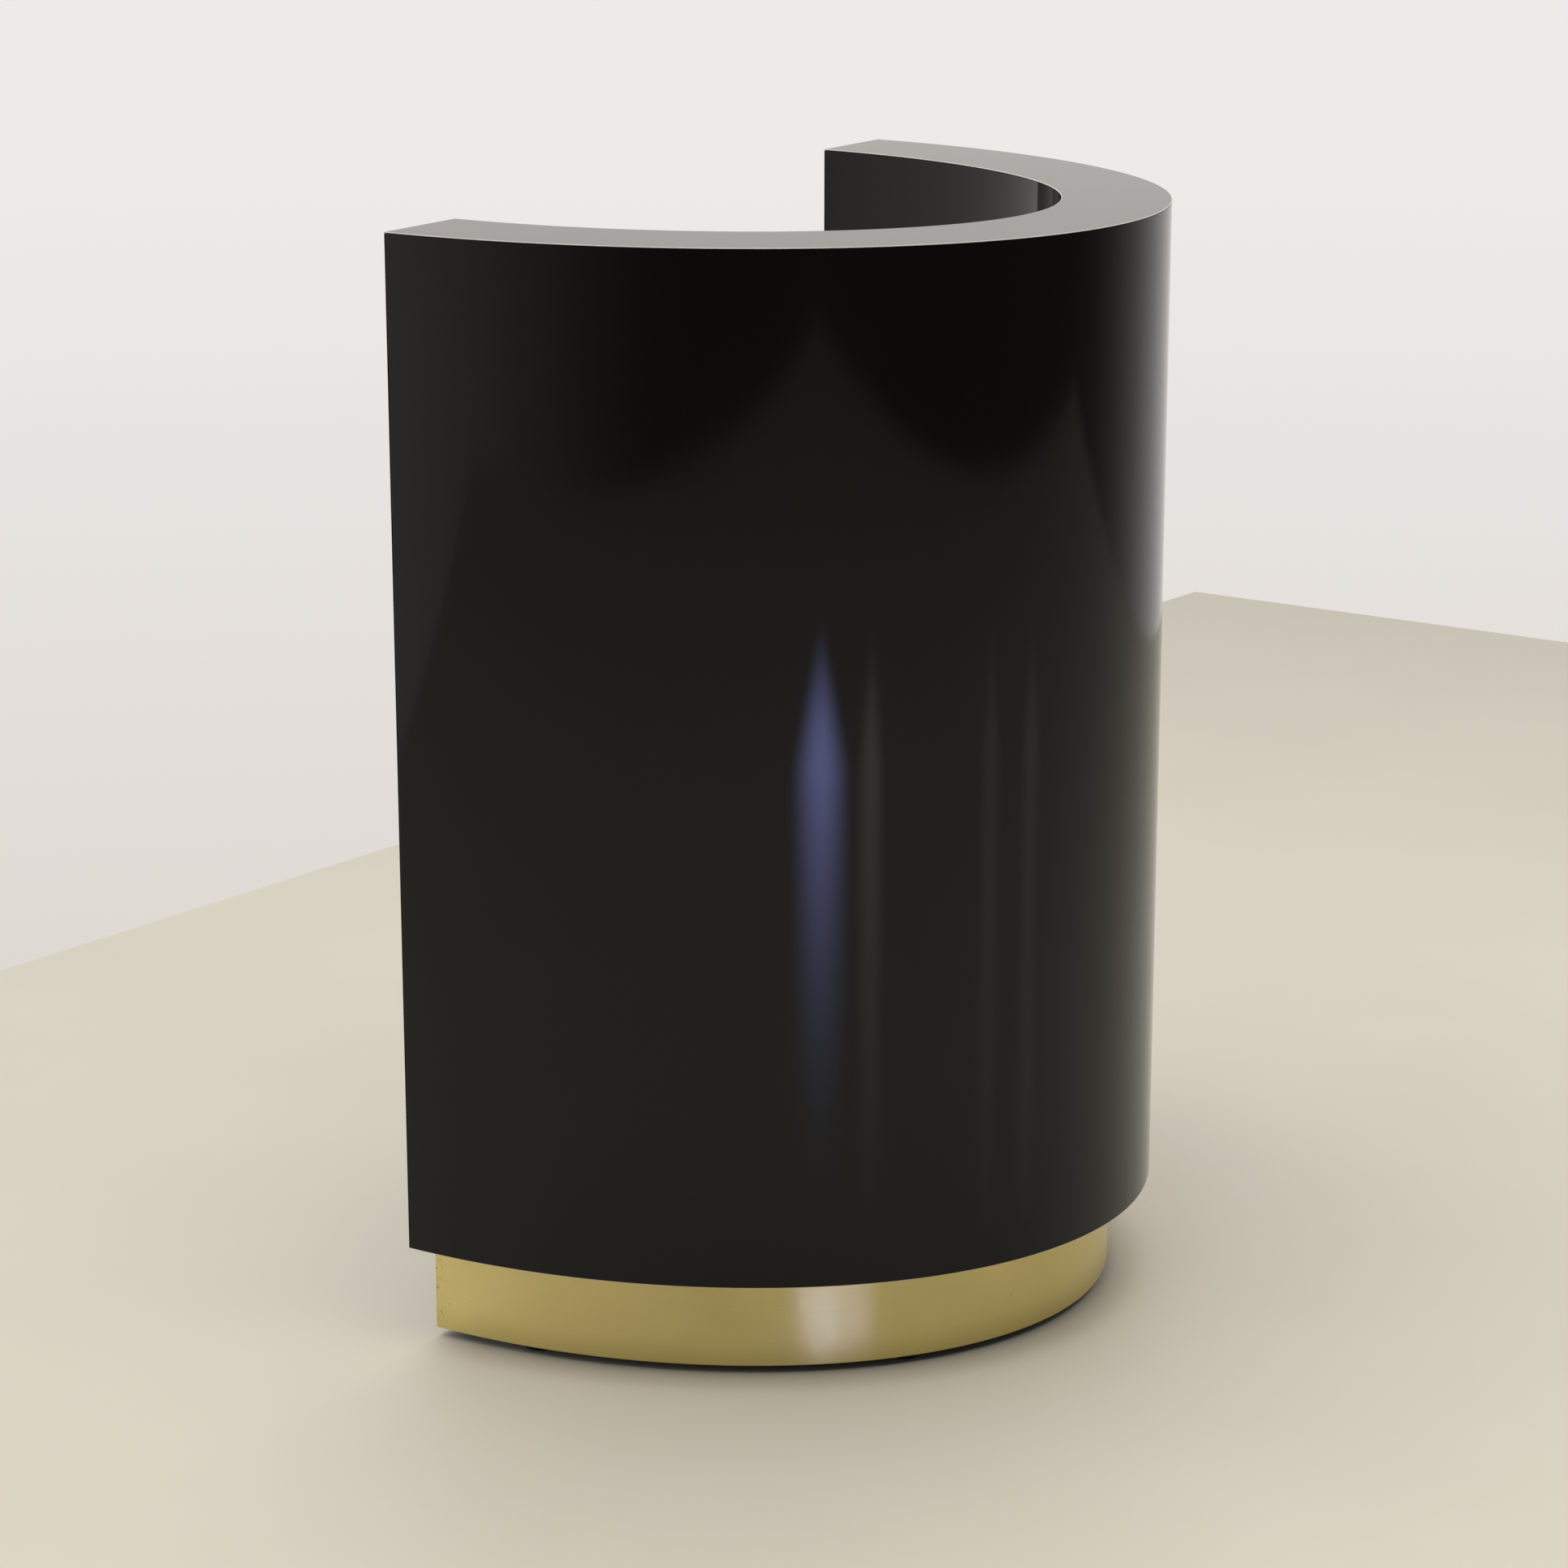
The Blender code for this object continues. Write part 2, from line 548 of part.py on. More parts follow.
PULL_CORNER = 0.009
CORNER_STEPS = 4
pull_path = [(-PULL_HALF_SPAN, GAP)]
for centre_x, start in ((PULL_CORNER - PULL_HALF_SPAN, 180), (PULL_HALF_SPAN - PULL_CORNER, 90)):
    for step in range(CORNER_STEPS + 1):
        angle = math.radians(start - 90 * step / CORNER_STEPS)
        reach = PULL_REACH - PULL_RADIUS - PULL_CORNER + PULL_CORNER * math.sin(angle)
        pull_path.append((centre_x + PULL_CORNER * math.cos(angle), reach))
pull_path.append((PULL_HALF_SPAN, GAP))
pull_curve = bpy.data.curves.new("drawer_pull", "CURVE")
pull_curve.dimensions = "3D"
pull_curve.bevel_depth = PULL_RADIUS
pull_curve.bevel_resolution = 3
pull_curve.use_fill_caps = True
run = pull_curve.splines.new("POLY")
run.points.add(len(pull_path) - 1)
for point, (x, y) in zip(run.points, pull_path):
    point.co = (x, y, 0, 1)
pull_curve.materials.append(NICKEL)
pull = bpy.data.objects.new("drawer_pull", pull_curve)
bpy.context.collection.objects.link(pull)
pull.parent = DRAWER
pull.location = (0, 0, PULL_HEIGHT - SLIDE_MIDDLE_Z)

# The cam lock: a housing through the drawer front, a plug that turns in it, its cam and its key

BARREL_RADIUS = 0.008
LOCK_FLANGE = 0.011
PLUG_RADIUS = 0.0055
SPIGOT_RADIUS = 0.003
CAM_LENGTH = 0.034
CAM_HALF = 0.006
FRONT_FACE = CABINET_BACK
BARREL_END = CABINET_BACK - BOARD - 0.004
CAM_Y = (BARREL_END - GAP - 0.002, BARREL_END - GAP)
KEY_HALF = 0.001
BLADE_HALF = 0.0032
KEY_IN, KEY_OUT = -0.015, 0.004
BOW_RADIUS = 0.009

lock_place = (0, CABINET_BACK, LOCK_HEIGHT)
lock_axis = new_axis("lock_axis", lock_place, DRAWER)
lock_centre = (0, 0, LOCK_HEIGHT)


def barrel(profile, hollow=False):
    return turned(profile, lock_centre, along="Y", hollow=hollow)


cut(
    drawer_front,
    barrel((
        (0, FRONT_FACE - 2 * BOARD), (BARREL_RADIUS + GAP, FRONT_FACE - 2 * BOARD),
        (BARREL_RADIUS + GAP, FRONT_FACE + BOARD), (0, FRONT_FACE + BOARD),
    )),
)
housing_bore = PLUG_RADIUS + 0.0004
housing = barrel((
    (housing_bore, BARREL_END), (BARREL_RADIUS, BARREL_END), (BARREL_RADIUS, FRONT_FACE + GAP),
    (LOCK_FLANGE, FRONT_FACE + GAP), (LOCK_FLANGE - 0.0008, FRONT_FACE + 0.0020),
    (housing_bore, FRONT_FACE + 0.0020),
), hollow=True)
add("lock_housing", housing, NICKEL, DRAWER, DRAWER_ORIGIN)
plug = add(
    "lock_plug",
    barrel((
        (0, CAM_Y[0] - 0.001), (SPIGOT_RADIUS, CAM_Y[0] - 0.001), (SPIGOT_RADIUS, BARREL_END),
        (PLUG_RADIUS, BARREL_END), (PLUG_RADIUS, FRONT_FACE + 0.0015), (0, FRONT_FACE + 0.0015),
    )),
    NICKEL, lock_axis, lock_place,
)
keyway = box(
    (-KEY_HALF - 0.0004, KEY_HALF + 0.0004), (FRONT_FACE + KEY_IN - 0.001, FRONT_FACE + 0.01),
    (LOCK_HEIGHT - BLADE_HALF - 0.0005, LOCK_HEIGHT + BLADE_HALF + 0.0005),
)
cut(plug, keyway)

# The cam points to -X while unlocked, and turns up behind the lock rail
cam_outline = []
for step in range(13):
    angle = math.radians(-90 + 15 * step)
    cam_outline.append((CAM_HALF * math.cos(angle), LOCK_HEIGHT + CAM_HALF * math.sin(angle)))
cam_outline += [(-CAM_LENGTH, LOCK_HEIGHT + CAM_HALF), (-CAM_LENGTH, LOCK_HEIGHT - CAM_HALF)]
cam = add("lock_cam", prism(cam_outline, *CAM_Y, along="Y"), ZINC_STEEL, lock_axis, lock_place)
cut(
    cam,
    barrel((
        (0, CAM_Y[0] - 0.004), (SPIGOT_RADIUS + GAP, CAM_Y[0] - 0.004),
        (SPIGOT_RADIUS + GAP, CAM_Y[1] + 0.004), (0, CAM_Y[1] + 0.004),
    )),
)

key_outline = [
    (FRONT_FACE + KEY_OUT, LOCK_HEIGHT + BLADE_HALF), (FRONT_FACE + KEY_IN, LOCK_HEIGHT + BLADE_HALF),
    (FRONT_FACE + KEY_IN, LOCK_HEIGHT - BLADE_HALF), (FRONT_FACE + KEY_OUT, LOCK_HEIGHT - BLADE_HALF),
]
bow_start = math.pi - math.asin(BLADE_HALF / BOW_RADIUS)
for step in range(1, 20):
    angle = -bow_start + 2 * bow_start * step / 20
    key_outline.append((
        FRONT_FACE + KEY_OUT + BOW_RADIUS * (1 + math.cos(angle)),
        LOCK_HEIGHT + BOW_RADIUS * math.sin(angle),
    ))
add("lock_key", prism(key_outline, -KEY_HALF, KEY_HALF, along="X"), NICKEL, lock_axis, lock_place)
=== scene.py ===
import math

import bmesh
import bpy
from mathutils import Matrix, Vector


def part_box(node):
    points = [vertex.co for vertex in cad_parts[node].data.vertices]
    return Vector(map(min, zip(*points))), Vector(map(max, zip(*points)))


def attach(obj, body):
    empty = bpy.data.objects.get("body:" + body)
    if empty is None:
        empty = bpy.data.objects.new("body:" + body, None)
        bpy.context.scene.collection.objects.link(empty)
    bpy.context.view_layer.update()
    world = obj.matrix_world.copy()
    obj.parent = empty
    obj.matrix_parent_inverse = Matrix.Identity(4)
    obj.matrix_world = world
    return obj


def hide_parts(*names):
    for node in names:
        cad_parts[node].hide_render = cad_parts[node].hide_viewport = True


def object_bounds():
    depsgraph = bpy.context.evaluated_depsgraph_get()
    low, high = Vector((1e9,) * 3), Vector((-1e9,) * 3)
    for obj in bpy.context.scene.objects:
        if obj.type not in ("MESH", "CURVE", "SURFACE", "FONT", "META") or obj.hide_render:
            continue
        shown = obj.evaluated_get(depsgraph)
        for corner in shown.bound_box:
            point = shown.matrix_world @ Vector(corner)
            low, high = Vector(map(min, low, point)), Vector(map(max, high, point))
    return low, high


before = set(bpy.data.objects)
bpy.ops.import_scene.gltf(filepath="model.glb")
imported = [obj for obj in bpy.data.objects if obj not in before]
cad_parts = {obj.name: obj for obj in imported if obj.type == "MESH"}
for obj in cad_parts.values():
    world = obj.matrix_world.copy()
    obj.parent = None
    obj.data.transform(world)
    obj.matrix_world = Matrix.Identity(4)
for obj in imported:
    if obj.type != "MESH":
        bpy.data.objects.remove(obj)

cad_low, cad_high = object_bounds()
scene = bpy.context.scene

# ---------------------------------------------------------------------------------------------
# Camera and studio. The counter stands on a pale stone-coloured floor, seen from its left front
# corner, from a little above its top. A pale surround stands for the walls behind it.

EYE = (-3.390, -2.093, 1.592)
TURNED_RIGHT = 57.0  # degrees
TILTED_DOWN = 15.3
camera_data = bpy.data.cameras.new("camera")
camera_data.sensor_width = 36
camera_data.lens = 97.8
camera = bpy.data.objects.new("camera", camera_data)
camera.location = EYE
camera.rotation_euler = (math.radians(90 - TILTED_DOWN), 0, math.radians(-TURNED_RIGHT))
scene.collection.objects.link(camera)
scene.camera = camera
scene.view_settings.view_transform = "Standard"


def linear(colour):
    """An sRGB hex colour as linear RGBA."""
    channels = [int(colour[k : k + 2], 16) / 255 for k in (1, 3, 5)]
    return (*[c / 12.92 if c <= 0.04045 else ((c + 0.055) / 1.055) ** 2.4 for c in channels], 1)


def put(tree, kind, inputs=None, **settings):
    """Adds a shader node. An input's value is a number, a colour, or another node's output to link."""
    node = tree.nodes.new(kind)
    for setting, value in settings.items():
        setattr(node, setting, value)
    for socket, value in (inputs or {}).items():
        if isinstance(value, bpy.types.NodeSocket):
            tree.links.new(value, node.inputs[socket])
        else:
            node.inputs[socket].default_value = value
    return node


def begin_finish(name, **constants):
    """A new material with constant shader values. Returns it with its tree, shader and coordinates."""
    material = bpy.data.materials.new(name)
    material.use_nodes = True
    tree = material.node_tree
    shader = tree.nodes["Principled BSDF"]
    for socket, value in constants.items():
        shader.inputs[socket.replace("_", " ")].default_value = value
    place = put(tree, "ShaderNodeTexCoord").outputs["Object"]
    return material, tree, shader, place


# Floor: large honed porcelain slabs, cut off along the room's two far walls. Matt, with a faint
# cloudiness a hand's breadth to an arm's length across.
FLOOR_CORNERS = ((2.907, 1.165), (-4.6, 1.853), (-4.6, -4.6), (2.879, -4.6))
floor_shape = bmesh.new()
floor_shape.faces.new([floor_shape.verts.new((x, y, 0)) for x, y in FLOOR_CORNERS])
bmesh.ops.recalc_face_normals(floor_shape, faces=floor_shape.faces)
floor_mesh = bpy.data.meshes.new("floor")
floor_shape.to_mesh(floor_mesh)
floor_shape.free()
floor = bpy.data.objects.new("floor", floor_mesh)
scene.collection.objects.link(floor)
stone, tree, shader, place = begin_finish("honed_pale_porcelain", Roughness=0.55, IOR=1.5)
clouds = put(tree, "ShaderNodeTexNoise", {"Vector": place, "Scale": 2.2, "Detail": 4, "Roughness": 0.55})
tone = put(
    tree, "ShaderNodeMix",
    {0: clouds.outputs["Fac"], 6: linear("#cfccbf"), 7: linear("#dad7ca")}, data_type="RGBA",
)
tree.links.new(tone.outputs[2], shader.inputs["Base Color"])
floor_mesh.materials.append(stone)

# Surround: the camera sees plain walls, a little darker towards the floor. Everything else is lit by
# a soft gradient, bright behind the counter and dim on the side of the room that its front faces.
BEHIND = Vector((0.334, 0.943, 0))
surround = bpy.data.worlds.new("surround")
scene.world = surround
surround.use_nodes = True
tree = surround.node_tree
tree.nodes.clear()
direction = put(tree, "ShaderNodeTexCoord").outputs["Generated"]
towards_back = put(tree, "ShaderNodeVectorMath", {0: direction, 1: BEHIND}, operation="DOT_PRODUCT")
brightness = put(
    tree, "ShaderNodeMapRange",
    {"Value": towards_back.outputs["Value"], "From Min": -0.65, "From Max": 0.45,
     "To Min": 0.12, "To Max": 1.0},
    interpolation_type="SMOOTHSTEP",
)
glow = put(
    tree, "ShaderNodeBackground",
    {"Color": linear("#f3efea"), "Strength": brightness.outputs["Result"]},
)
upwards = put(tree, "ShaderNodeSeparateXYZ", {"Vector": direction}).outputs["Z"]
above_floor = put(tree, "ShaderNodeMapRange", {"Value": upwards, "From Min": -0.33, "From Max": -0.12})
paint = put(
    tree, "ShaderNodeMix",
    {0: above_floor.outputs["Result"], 6: linear("#dcd6d0"), 7: linear("#eeeae8")}, data_type="RGBA",
)
wall_tone = put(tree, "ShaderNodeBackground", {"Color": paint.outputs[2], "Strength": 1.0})
seen = put(tree, "ShaderNodeLightPath").outputs["Is Camera Ray"]
both = put(tree, "ShaderNodeMixShader", {0: seen, 1: glow.outputs[0], 2: wall_tone.outputs[0]})
put(tree, "ShaderNodeOutputWorld", {"Surface": both.outputs[0]})


def area_light(name, place, aim, size, power, colour="#ffffff", shape="RECTANGLE"):
    """A soft box at a place, aimed at a point, with its two sizes in metres and its power in watts."""
    data = bpy.data.lights.new(name, "AREA")
    data.shape = shape
    data.size, data.size_y = size
    data.energy = power
    data.color = linear(colour)[:3]
    light = bpy.data.objects.new(name, data)
    light.location = place
    light.rotation_euler = (Vector(aim) - Vector(place)).to_track_quat("-Z", "Y").to_euler()
    scene.collection.objects.link(light)
    light.visible_camera = False
    return light


area_light("ceiling_box", (-0.3, -0.4, 3.4), (0, 0, 0), (4.5, 4.5), 112, "#fffbf5")

# Upright soft lights close in front, which show only in gloss, as streaks down the curved face: a cool
# one as from a window, and fainter ones as from the room
WIDTH = cad_high.x - cad_low.x
DEPTH = cad_high.y - cad_low.y
BACK = cad_high.y
STREAK_REACH = 0.35
STREAK_HEIGHT = 0.66
STREAK_SHOULDER = 0.76  # share of the height from which a streak narrows to its tip


def mirrored(turn, reach):
    """The spot at a turn, in degrees, round the oval, and the place at a reach from it that a glossy
    face there mirrors to the camera."""
    angle = math.radians(turn)
    spot = Vector((-math.cos(angle) * WIDTH / 2, BACK - math.sin(angle) * DEPTH))
    outward = Vector((-math.cos(angle) * DEPTH, -math.sin(angle) * WIDTH / 2)).normalized()
    return spot, spot + (spot - camera.location.xy).normalized().reflect(outward) * reach


def streak_light(name, turn, width, power, colour, fading):
    """A soft upright light that shows at a turn round the oval, fading down as a power of the height."""
    spot, place = mirrored(turn, STREAK_REACH)
    middle = STREAK_HEIGHT / 2
    light = area_light(name, (*place, middle), (*spot, middle), (width, STREAK_HEIGHT), power, colour)
    light.visible_diffuse = False
    light.data.use_nodes = True
    tree = light.data.node_tree
    tree.nodes.clear()
    spread = put(tree, "ShaderNodeNewGeometry").outputs["Parametric"]
    axes = put(tree, "ShaderNodeSeparateXYZ", {"Vector": spread})
    aside = put(tree, "ShaderNodeMath", {0: axes.outputs["X"], 1: 0.5}, operation="SUBTRACT")
    aside = put(tree, "ShaderNodeMath", {0: aside.outputs[0]}, operation="ABSOLUTE")
    # Narrower and fainter towards its tip
    half_across = put(
        tree, "ShaderNodeMapRange",
        {"Value": axes.outputs["Y"], "From Min": STREAK_SHOULDER, "From Max": 1.0,
         "To Min": 0.5, "To Max": 0.06},
    )
    tip = put(
        tree, "ShaderNodeMapRange",
        {"Value": axes.outputs["Y"], "From Min": STREAK_SHOULDER + 0.02, "From Max": 1.0,
         "To Min": 1.0, "To Max": 0.0},
        interpolation_type="SMOOTHSTEP",
    )
    outwards = put(
        tree, "ShaderNodeMath", {0: aside.outputs[0], 1: half_across.outputs["Result"]}, operation="DIVIDE"
    )
    across = put(
        tree, "ShaderNodeMapRange", {"Value": outwards.outputs[0], "To Min": 1.0, "To Max": 0.0},
        interpolation_type="SMOOTHSTEP",
    )
    up = put(tree, "ShaderNodeMapRange", {"Value": axes.outputs["Y"], "From Max": STREAK_SHOULDER})
    rise = put(tree, "ShaderNodeMath", {0: up.outputs["Result"], 1: fading}, operation="POWER")
    beam = across.outputs["Result"]
    for share in (rise.outputs[0], tip.outputs["Result"]):
        beam = put(tree, "ShaderNodeMath", {0: beam, 1: share}, operation="MULTIPLY").outputs[0]
    glow = put(tree, "ShaderNodeEmission", {"Strength": beam})
    put(tree, "ShaderNodeOutputLight", {"Surface": glow.outputs[0]})


streak_light("window_streak", 46.4, 0.155, 2.5, "#a8b0ff", 2.6)
streak_light("room_streak", 52, 0.085, 0.16, "#fff6ea", 1.2)
streak_light("faint_streak", 67, 0.08, 0.055, "#fff6ea", 0.6)
streak_light("faint_streak", 73, 0.08, 0.055, "#fff6ea", 0.6)

# The window's gleam on the floor, close to the toe kick, and a wider fainter one. Only the toe kick
# mirrors them: it is added to their receivers once it is made.
GLEAM_REACH = 0.13
GLEAM_LENGTH = 0.24
gleam_receivers = bpy.data.collections.new("gleam_receivers")
for turn, width, power in ((47.7, 0.055, 0.056), (49.5, 0.135, 0.085)):
    spot, place = mirrored(turn, GLEAM_REACH)
    gleam = area_light(
        "floor_gleam", (*place, 0.001), (*place, 1), (width, GLEAM_LENGTH), power, "#98a2ff", "ELLIPSE"
    )
    gleam.rotation_euler.z = math.atan2(spot.x - place.x, place.y - spot.y)
    gleam.visible_diffuse = False
    gleam.light_linking.receiver_collection = gleam_receivers

# ---------------------------------------------------------------------------------------------
# The wall's faces. High-pressure laminate, 1.2 mm, contact-glued to bent plywood: the outer and the
# inner sheet first, then the two end strips, and the top sheet last, its edges eased with a file.

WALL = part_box("left_end_laminate")[1].x - cad_low.x
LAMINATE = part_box("top_laminate")[1].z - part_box("top_laminate")[0].z
PLAN_STEPS = 180  # round the half oval
EASED = 0.0007  # what the file takes off an edge
TOUCHING = 0.0001  # corners closer to a face than this lie in it


def oval_ring(shape, depth):
    """Adds the wall's whole oval plan to a bmesh, at a depth in from its outer face. Returns its corners."""
    ring = bmesh.ops.create_circle(shape, segments=2 * PLAN_STEPS, radius=1)["verts"]
    for corner in ring:
        outer = Vector((corner.co.x * WIDTH / 2, corner.co.y * DEPTH + BACK, 0))
        outward = Vector((corner.co.x * DEPTH, corner.co.y * WIDTH / 2, 0)).normalized()
        corner.co = outer - outward * depth
    return ring


def trim(shape, back):
    """Cuts a shape off square at y = back."""
    geometry = shape.verts[:] + shape.edges[:] + shape.faces[:]
    bmesh.ops.bisect_plane(
        shape, geom=geometry, dist=0.00001, plane_co=(0, back, 0), plane_no=(0, 1, 0), clear_outer=True
    )


def grow(shape, part, way):
    """Extrudes some faces, or else some edges, a way along. Returns the new edges."""
    if isinstance(part[0], bmesh.types.BMFace):
        grown = bmesh.ops.extrude_face_region(shape, geom=part)["geom"]
    else:
        grown = bmesh.ops.extrude_edge_only(shape, edges=part)["geom"]
    corners = [item for item in grown if isinstance(item, bmesh.types.BMVert)]
    bmesh.ops.translate(shape, verts=corners, vec=way)
    return [item for item in grown if isinstance(item, bmesh.types.BMEdge)]


def raise_flat(shape, low, high):
    """Makes a flat shape solid from one height to another."""
    bmesh.ops.translate(shape, verts=shape.verts, vec=(0, 0, low))
    grow(shape, shape.faces[:], (0, 0, high - low))
    bmesh.ops.recalc_face_normals(shape, faces=shape.faces)


def ease(shape, width, segments=2, steeper_than=50, within=lambda edge: True):
    """Bevels the edges where two faces meet at more than an angle, where within says so."""
    limit = math.radians(steeper_than)
    edges = [e for e in shape.edges if len(e.link_faces) == 2 and e.calc_face_angle() > limit and within(e)]
    bmesh.ops.bevel(
        shape, geom=edges, offset=width, offset_type="OFFSET", affect="EDGES", segments=segments,
        profile=0.5, material=-1, clamp_overlap=True,
    )
    shape.normal_update()


def c_shape(outer, inner, low, high, back=BACK):
    """The wall's C-shaped plan between two depths, raised between two heights."""
    shape = bmesh.new()
    oval_ring(shape, outer)
    oval_ring(shape, inner)
    bmesh.ops.bridge_loops(shape, edges=shape.edges[:])
    trim(shape, back)
    raise_flat(shape, low, high)
    return shape


def block(low, high):
    """A plain block between two corners."""
    shape = bmesh.new()
    bmesh.ops.create_cube(shape, size=1)
    bmesh.ops.scale(shape, verts=shape.verts, vec=high - low)
    bmesh.ops.translate(shape, verts=shape.verts, vec=(low + high) / 2)
    return shape


def keep(name, shape, finishes, body, slot, *nodes, sharp=12):
    """Makes a shape a piece that rides on a body, takes the given finishes and stands for CAD nodes, which it
    hides. The slot is not used.
    """
    mesh = bpy.data.meshes.new(name)
    shape.to_mesh(mesh)
    shape.free()
    for finish in finishes if isinstance(finishes, (list, tuple)) else [finishes]:
        mesh.materials.append(finish)
    mesh.shade_smooth()
    mesh.set_sharp_from_angle(angle=math.radians(sharp))
    piece = bpy.data.objects.new(name, mesh)
    scene.collection.objects.link(piece)
    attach(piece, body)
    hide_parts(*nodes)
    return piece


def laminate_finish(name, stretch):
    """Gloss black melamine laminate, pressed against a polished plate: deep black under a hard clear
    face. The glue line telegraphs through as a slow waviness, long in the direction it is stretched."""
    material, tree, shader, place = begin_finish(name, IOR=1.34)
    mapped = put(tree, "ShaderNodeMapping", {"Vector": place, "Scale": stretch})
    # Waves about 80 mm apart and 0.04 mm deep
    waves = put(
        tree, "ShaderNodeTexNoise",
        {"Vector": mapped.outputs[0], "Scale": 12.5, "Detail": 1.0, "Roughness": 0.4},
    )
    # Orange peel from the press plate, about 3 mm across, drawn as coarse as the light shows it
    peel = put(tree, "ShaderNodeTexNoise", {"Vector": place, "Scale": 330, "Detail": 1.0})
    slow = put(
        tree, "ShaderNodeBump",
        {"Height": waves.outputs["Fac"], "Distance": 0.00012, "Strength": 1.0},
    )
    fine = put(
        tree, "ShaderNodeBump",
        {"Height": peel.outputs["Fac"], "Distance": 0.0000012, "Strength": 1.0, "Normal": slow.outputs[0]},
    )
    tree.links.new(fine.outputs[0], shader.inputs["Normal"])
    # Faint wiping marks, 150 mm long, change the gloss and lift the black a little
    wiped = put(tree, "ShaderNodeMapping", {"Vector": place, "Scale": (6, 6, 1.6)})
    marks = put(
        tree, "ShaderNodeTexNoise",
        {"Vector": wiped.outputs[0], "Scale": 1.0, "Detail": 5.0, "Roughness": 0.6, "Distortion": 0.6},
    )
    gloss = put(
        tree, "ShaderNodeMapRange",
        {"Value": marks.outputs["Fac"], "From Min": 0.35, "From Max": 0.7, "To Min": 0.055, "To Max": 0.10},
    )
    tree.links.new(gloss.outputs["Result"], shader.inputs["Roughness"])
    black = put(
        tree, "ShaderNodeMix",
        {0: marks.outputs["Fac"], 6: linear("#050505"), 7: linear("#090807")}, data_type="RGBA",
    )
    tree.links.new(black.outputs[2], shader.inputs["Base Color"])
    return material


upright_laminate = laminate_finish("gloss_black_upright_laminate", (1, 1, 0.12))
flat_laminate = laminate_finish("gloss_black_flat_laminate", (0.6, 0.6, 0.6))
LAMINATE_SLOT = "gloss_black_laminate"

painted_highlight_edge, tree, shader, place = begin_finish("laminate_edge_painted_highlight", Roughness=0.5, IOR=1.5)
# Painted highlight: a fine light line on the eased facets stands in for the light they catch, streaked every
# 2 mm or so
highlight_streaks = put(tree, "ShaderNodeTexNoise", {"Vector": place, "Scale": 500, "Detail": 2.0})
highlight_tone = put(
    tree, "ShaderNodeMix",
    {0: highlight_streaks.outputs["Fac"], 6: linear("#a8a29e"), 7: linear("#dcd6d2")}, data_type="RGBA",
)
tree.links.new(highlight_tone.outputs[2], shader.inputs["Base Color"])


def show_painted_highlight(shape, facing):
    """Gives the eased edges that face up (1) or down (-1) the second finish, a pale painted highlight."""
    for face in shape.faces:
        face.material_index = 0.2 < face.normal.z * facing < 0.95


body_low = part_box("outer_laminate")[0].z
body_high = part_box("outer_laminate")[1].z
faces_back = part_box("outer_laminate")[1].y
outer_sheet = c_shape(0, LAMINATE, body_low, body_high, faces_back)
ease(outer_sheet, EASED, within=lambda edge: min(v.co.z for v in edge.verts) < body_low + LAMINATE)
# Painted highlight: pale colour along the eased bottom edges
show_painted_highlight(outer_sheet, -1)
keep("outer_face", outer_sheet, [upright_laminate, painted_highlight_edge], "counter", LAMINATE_SLOT, "outer_laminate")
inner_sheet = c_shape(WALL - LAMINATE, WALL, body_low, body_high, faces_back)
keep("inner_face", inner_sheet, upright_laminate, "counter", LAMINATE_SLOT, "inner_laminate")
top_sheet = c_shape(0, WALL, cad_high.z - LAMINATE, cad_high.z)
ease(top_sheet, EASED, within=lambda edge: min(v.co.z for v in edge.verts) > cad_high.z - EASED)
# Painted highlight: pale colour along the eased top edges
show_painted_highlight(top_sheet, 1)
keep("top_face", top_sheet, [flat_laminate, painted_highlight_edge], "counter", LAMINATE_SLOT, "top_laminate")
for side in ("left", "right"):
    end_strip = block(*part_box(f"{side}_end_laminate"))
    ease(end_strip, EASED)
    keep(f"{side}_end_face", end_strip, upright_laminate, "counter", LAMINATE_SLOT, f"{side}_end_laminate")

# ---------------------------------------------------------------------------------------------
# The toe kick. A hard laminate faced with brushed gold aluminium foil, bent cold round the plinth
# and contact-glued. All its edges are cut bare.

KICK_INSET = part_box("toe_kick")[0].x - cad_low.x
kick_low, kick_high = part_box("toe_kick")
# The brushing lies level, so it spreads what the metal mirrors up and down but hardly sideways
gold, tree, shader, place = begin_finish(
    "brushed_gold_faced_laminate", Metallic=1.0, Anisotropic=0.8, Anisotropic_Rotation=0.25
)
# Brushing runs along the kick: lines about 0.4 mm apart, drawn as coarse as the render can show
brushed = put(tree, "ShaderNodeMapping", {"Vector": place, "Scale": (5, 5, 2500)})
lines = put(
    tree, "ShaderNodeTexNoise", {"Vector": brushed.outputs[0], "Scale": 1.0, "Detail": 2.0, "Roughness": 0.6}
)
scored = put(tree, "ShaderNodeBump", {"Height": lines.outputs["Fac"], "Distance": 0.00001, "Strength": 0.5})
tree.links.new(scored.outputs[0], shader.inputs["Normal"])
tint = put(
    tree, "ShaderNodeMix",
    {0: lines.outputs["Fac"], 6: linear("#d6c584"), 7: linear("#dfd092")}, data_type="RGBA",
)
# Dust gathers low down
axes = put(tree, "ShaderNodeSeparateXYZ", {"Vector": place})
low_down = put(
    tree, "ShaderNodeMapRange",
    {"Value": axes.outputs["Z"], "From Min": kick_low.z, "From Max": kick_low.z + 0.03,
     "To Min": 0.3, "To Max": 0.0},
    interpolation_type="SMOOTHSTEP",
)
dulled = put(
    tree, "ShaderNodeMix",
    {0: low_down.outputs["Result"], 6: tint.outputs[2], 7: linear("#b9a860")}, data_type="RGBA",
)
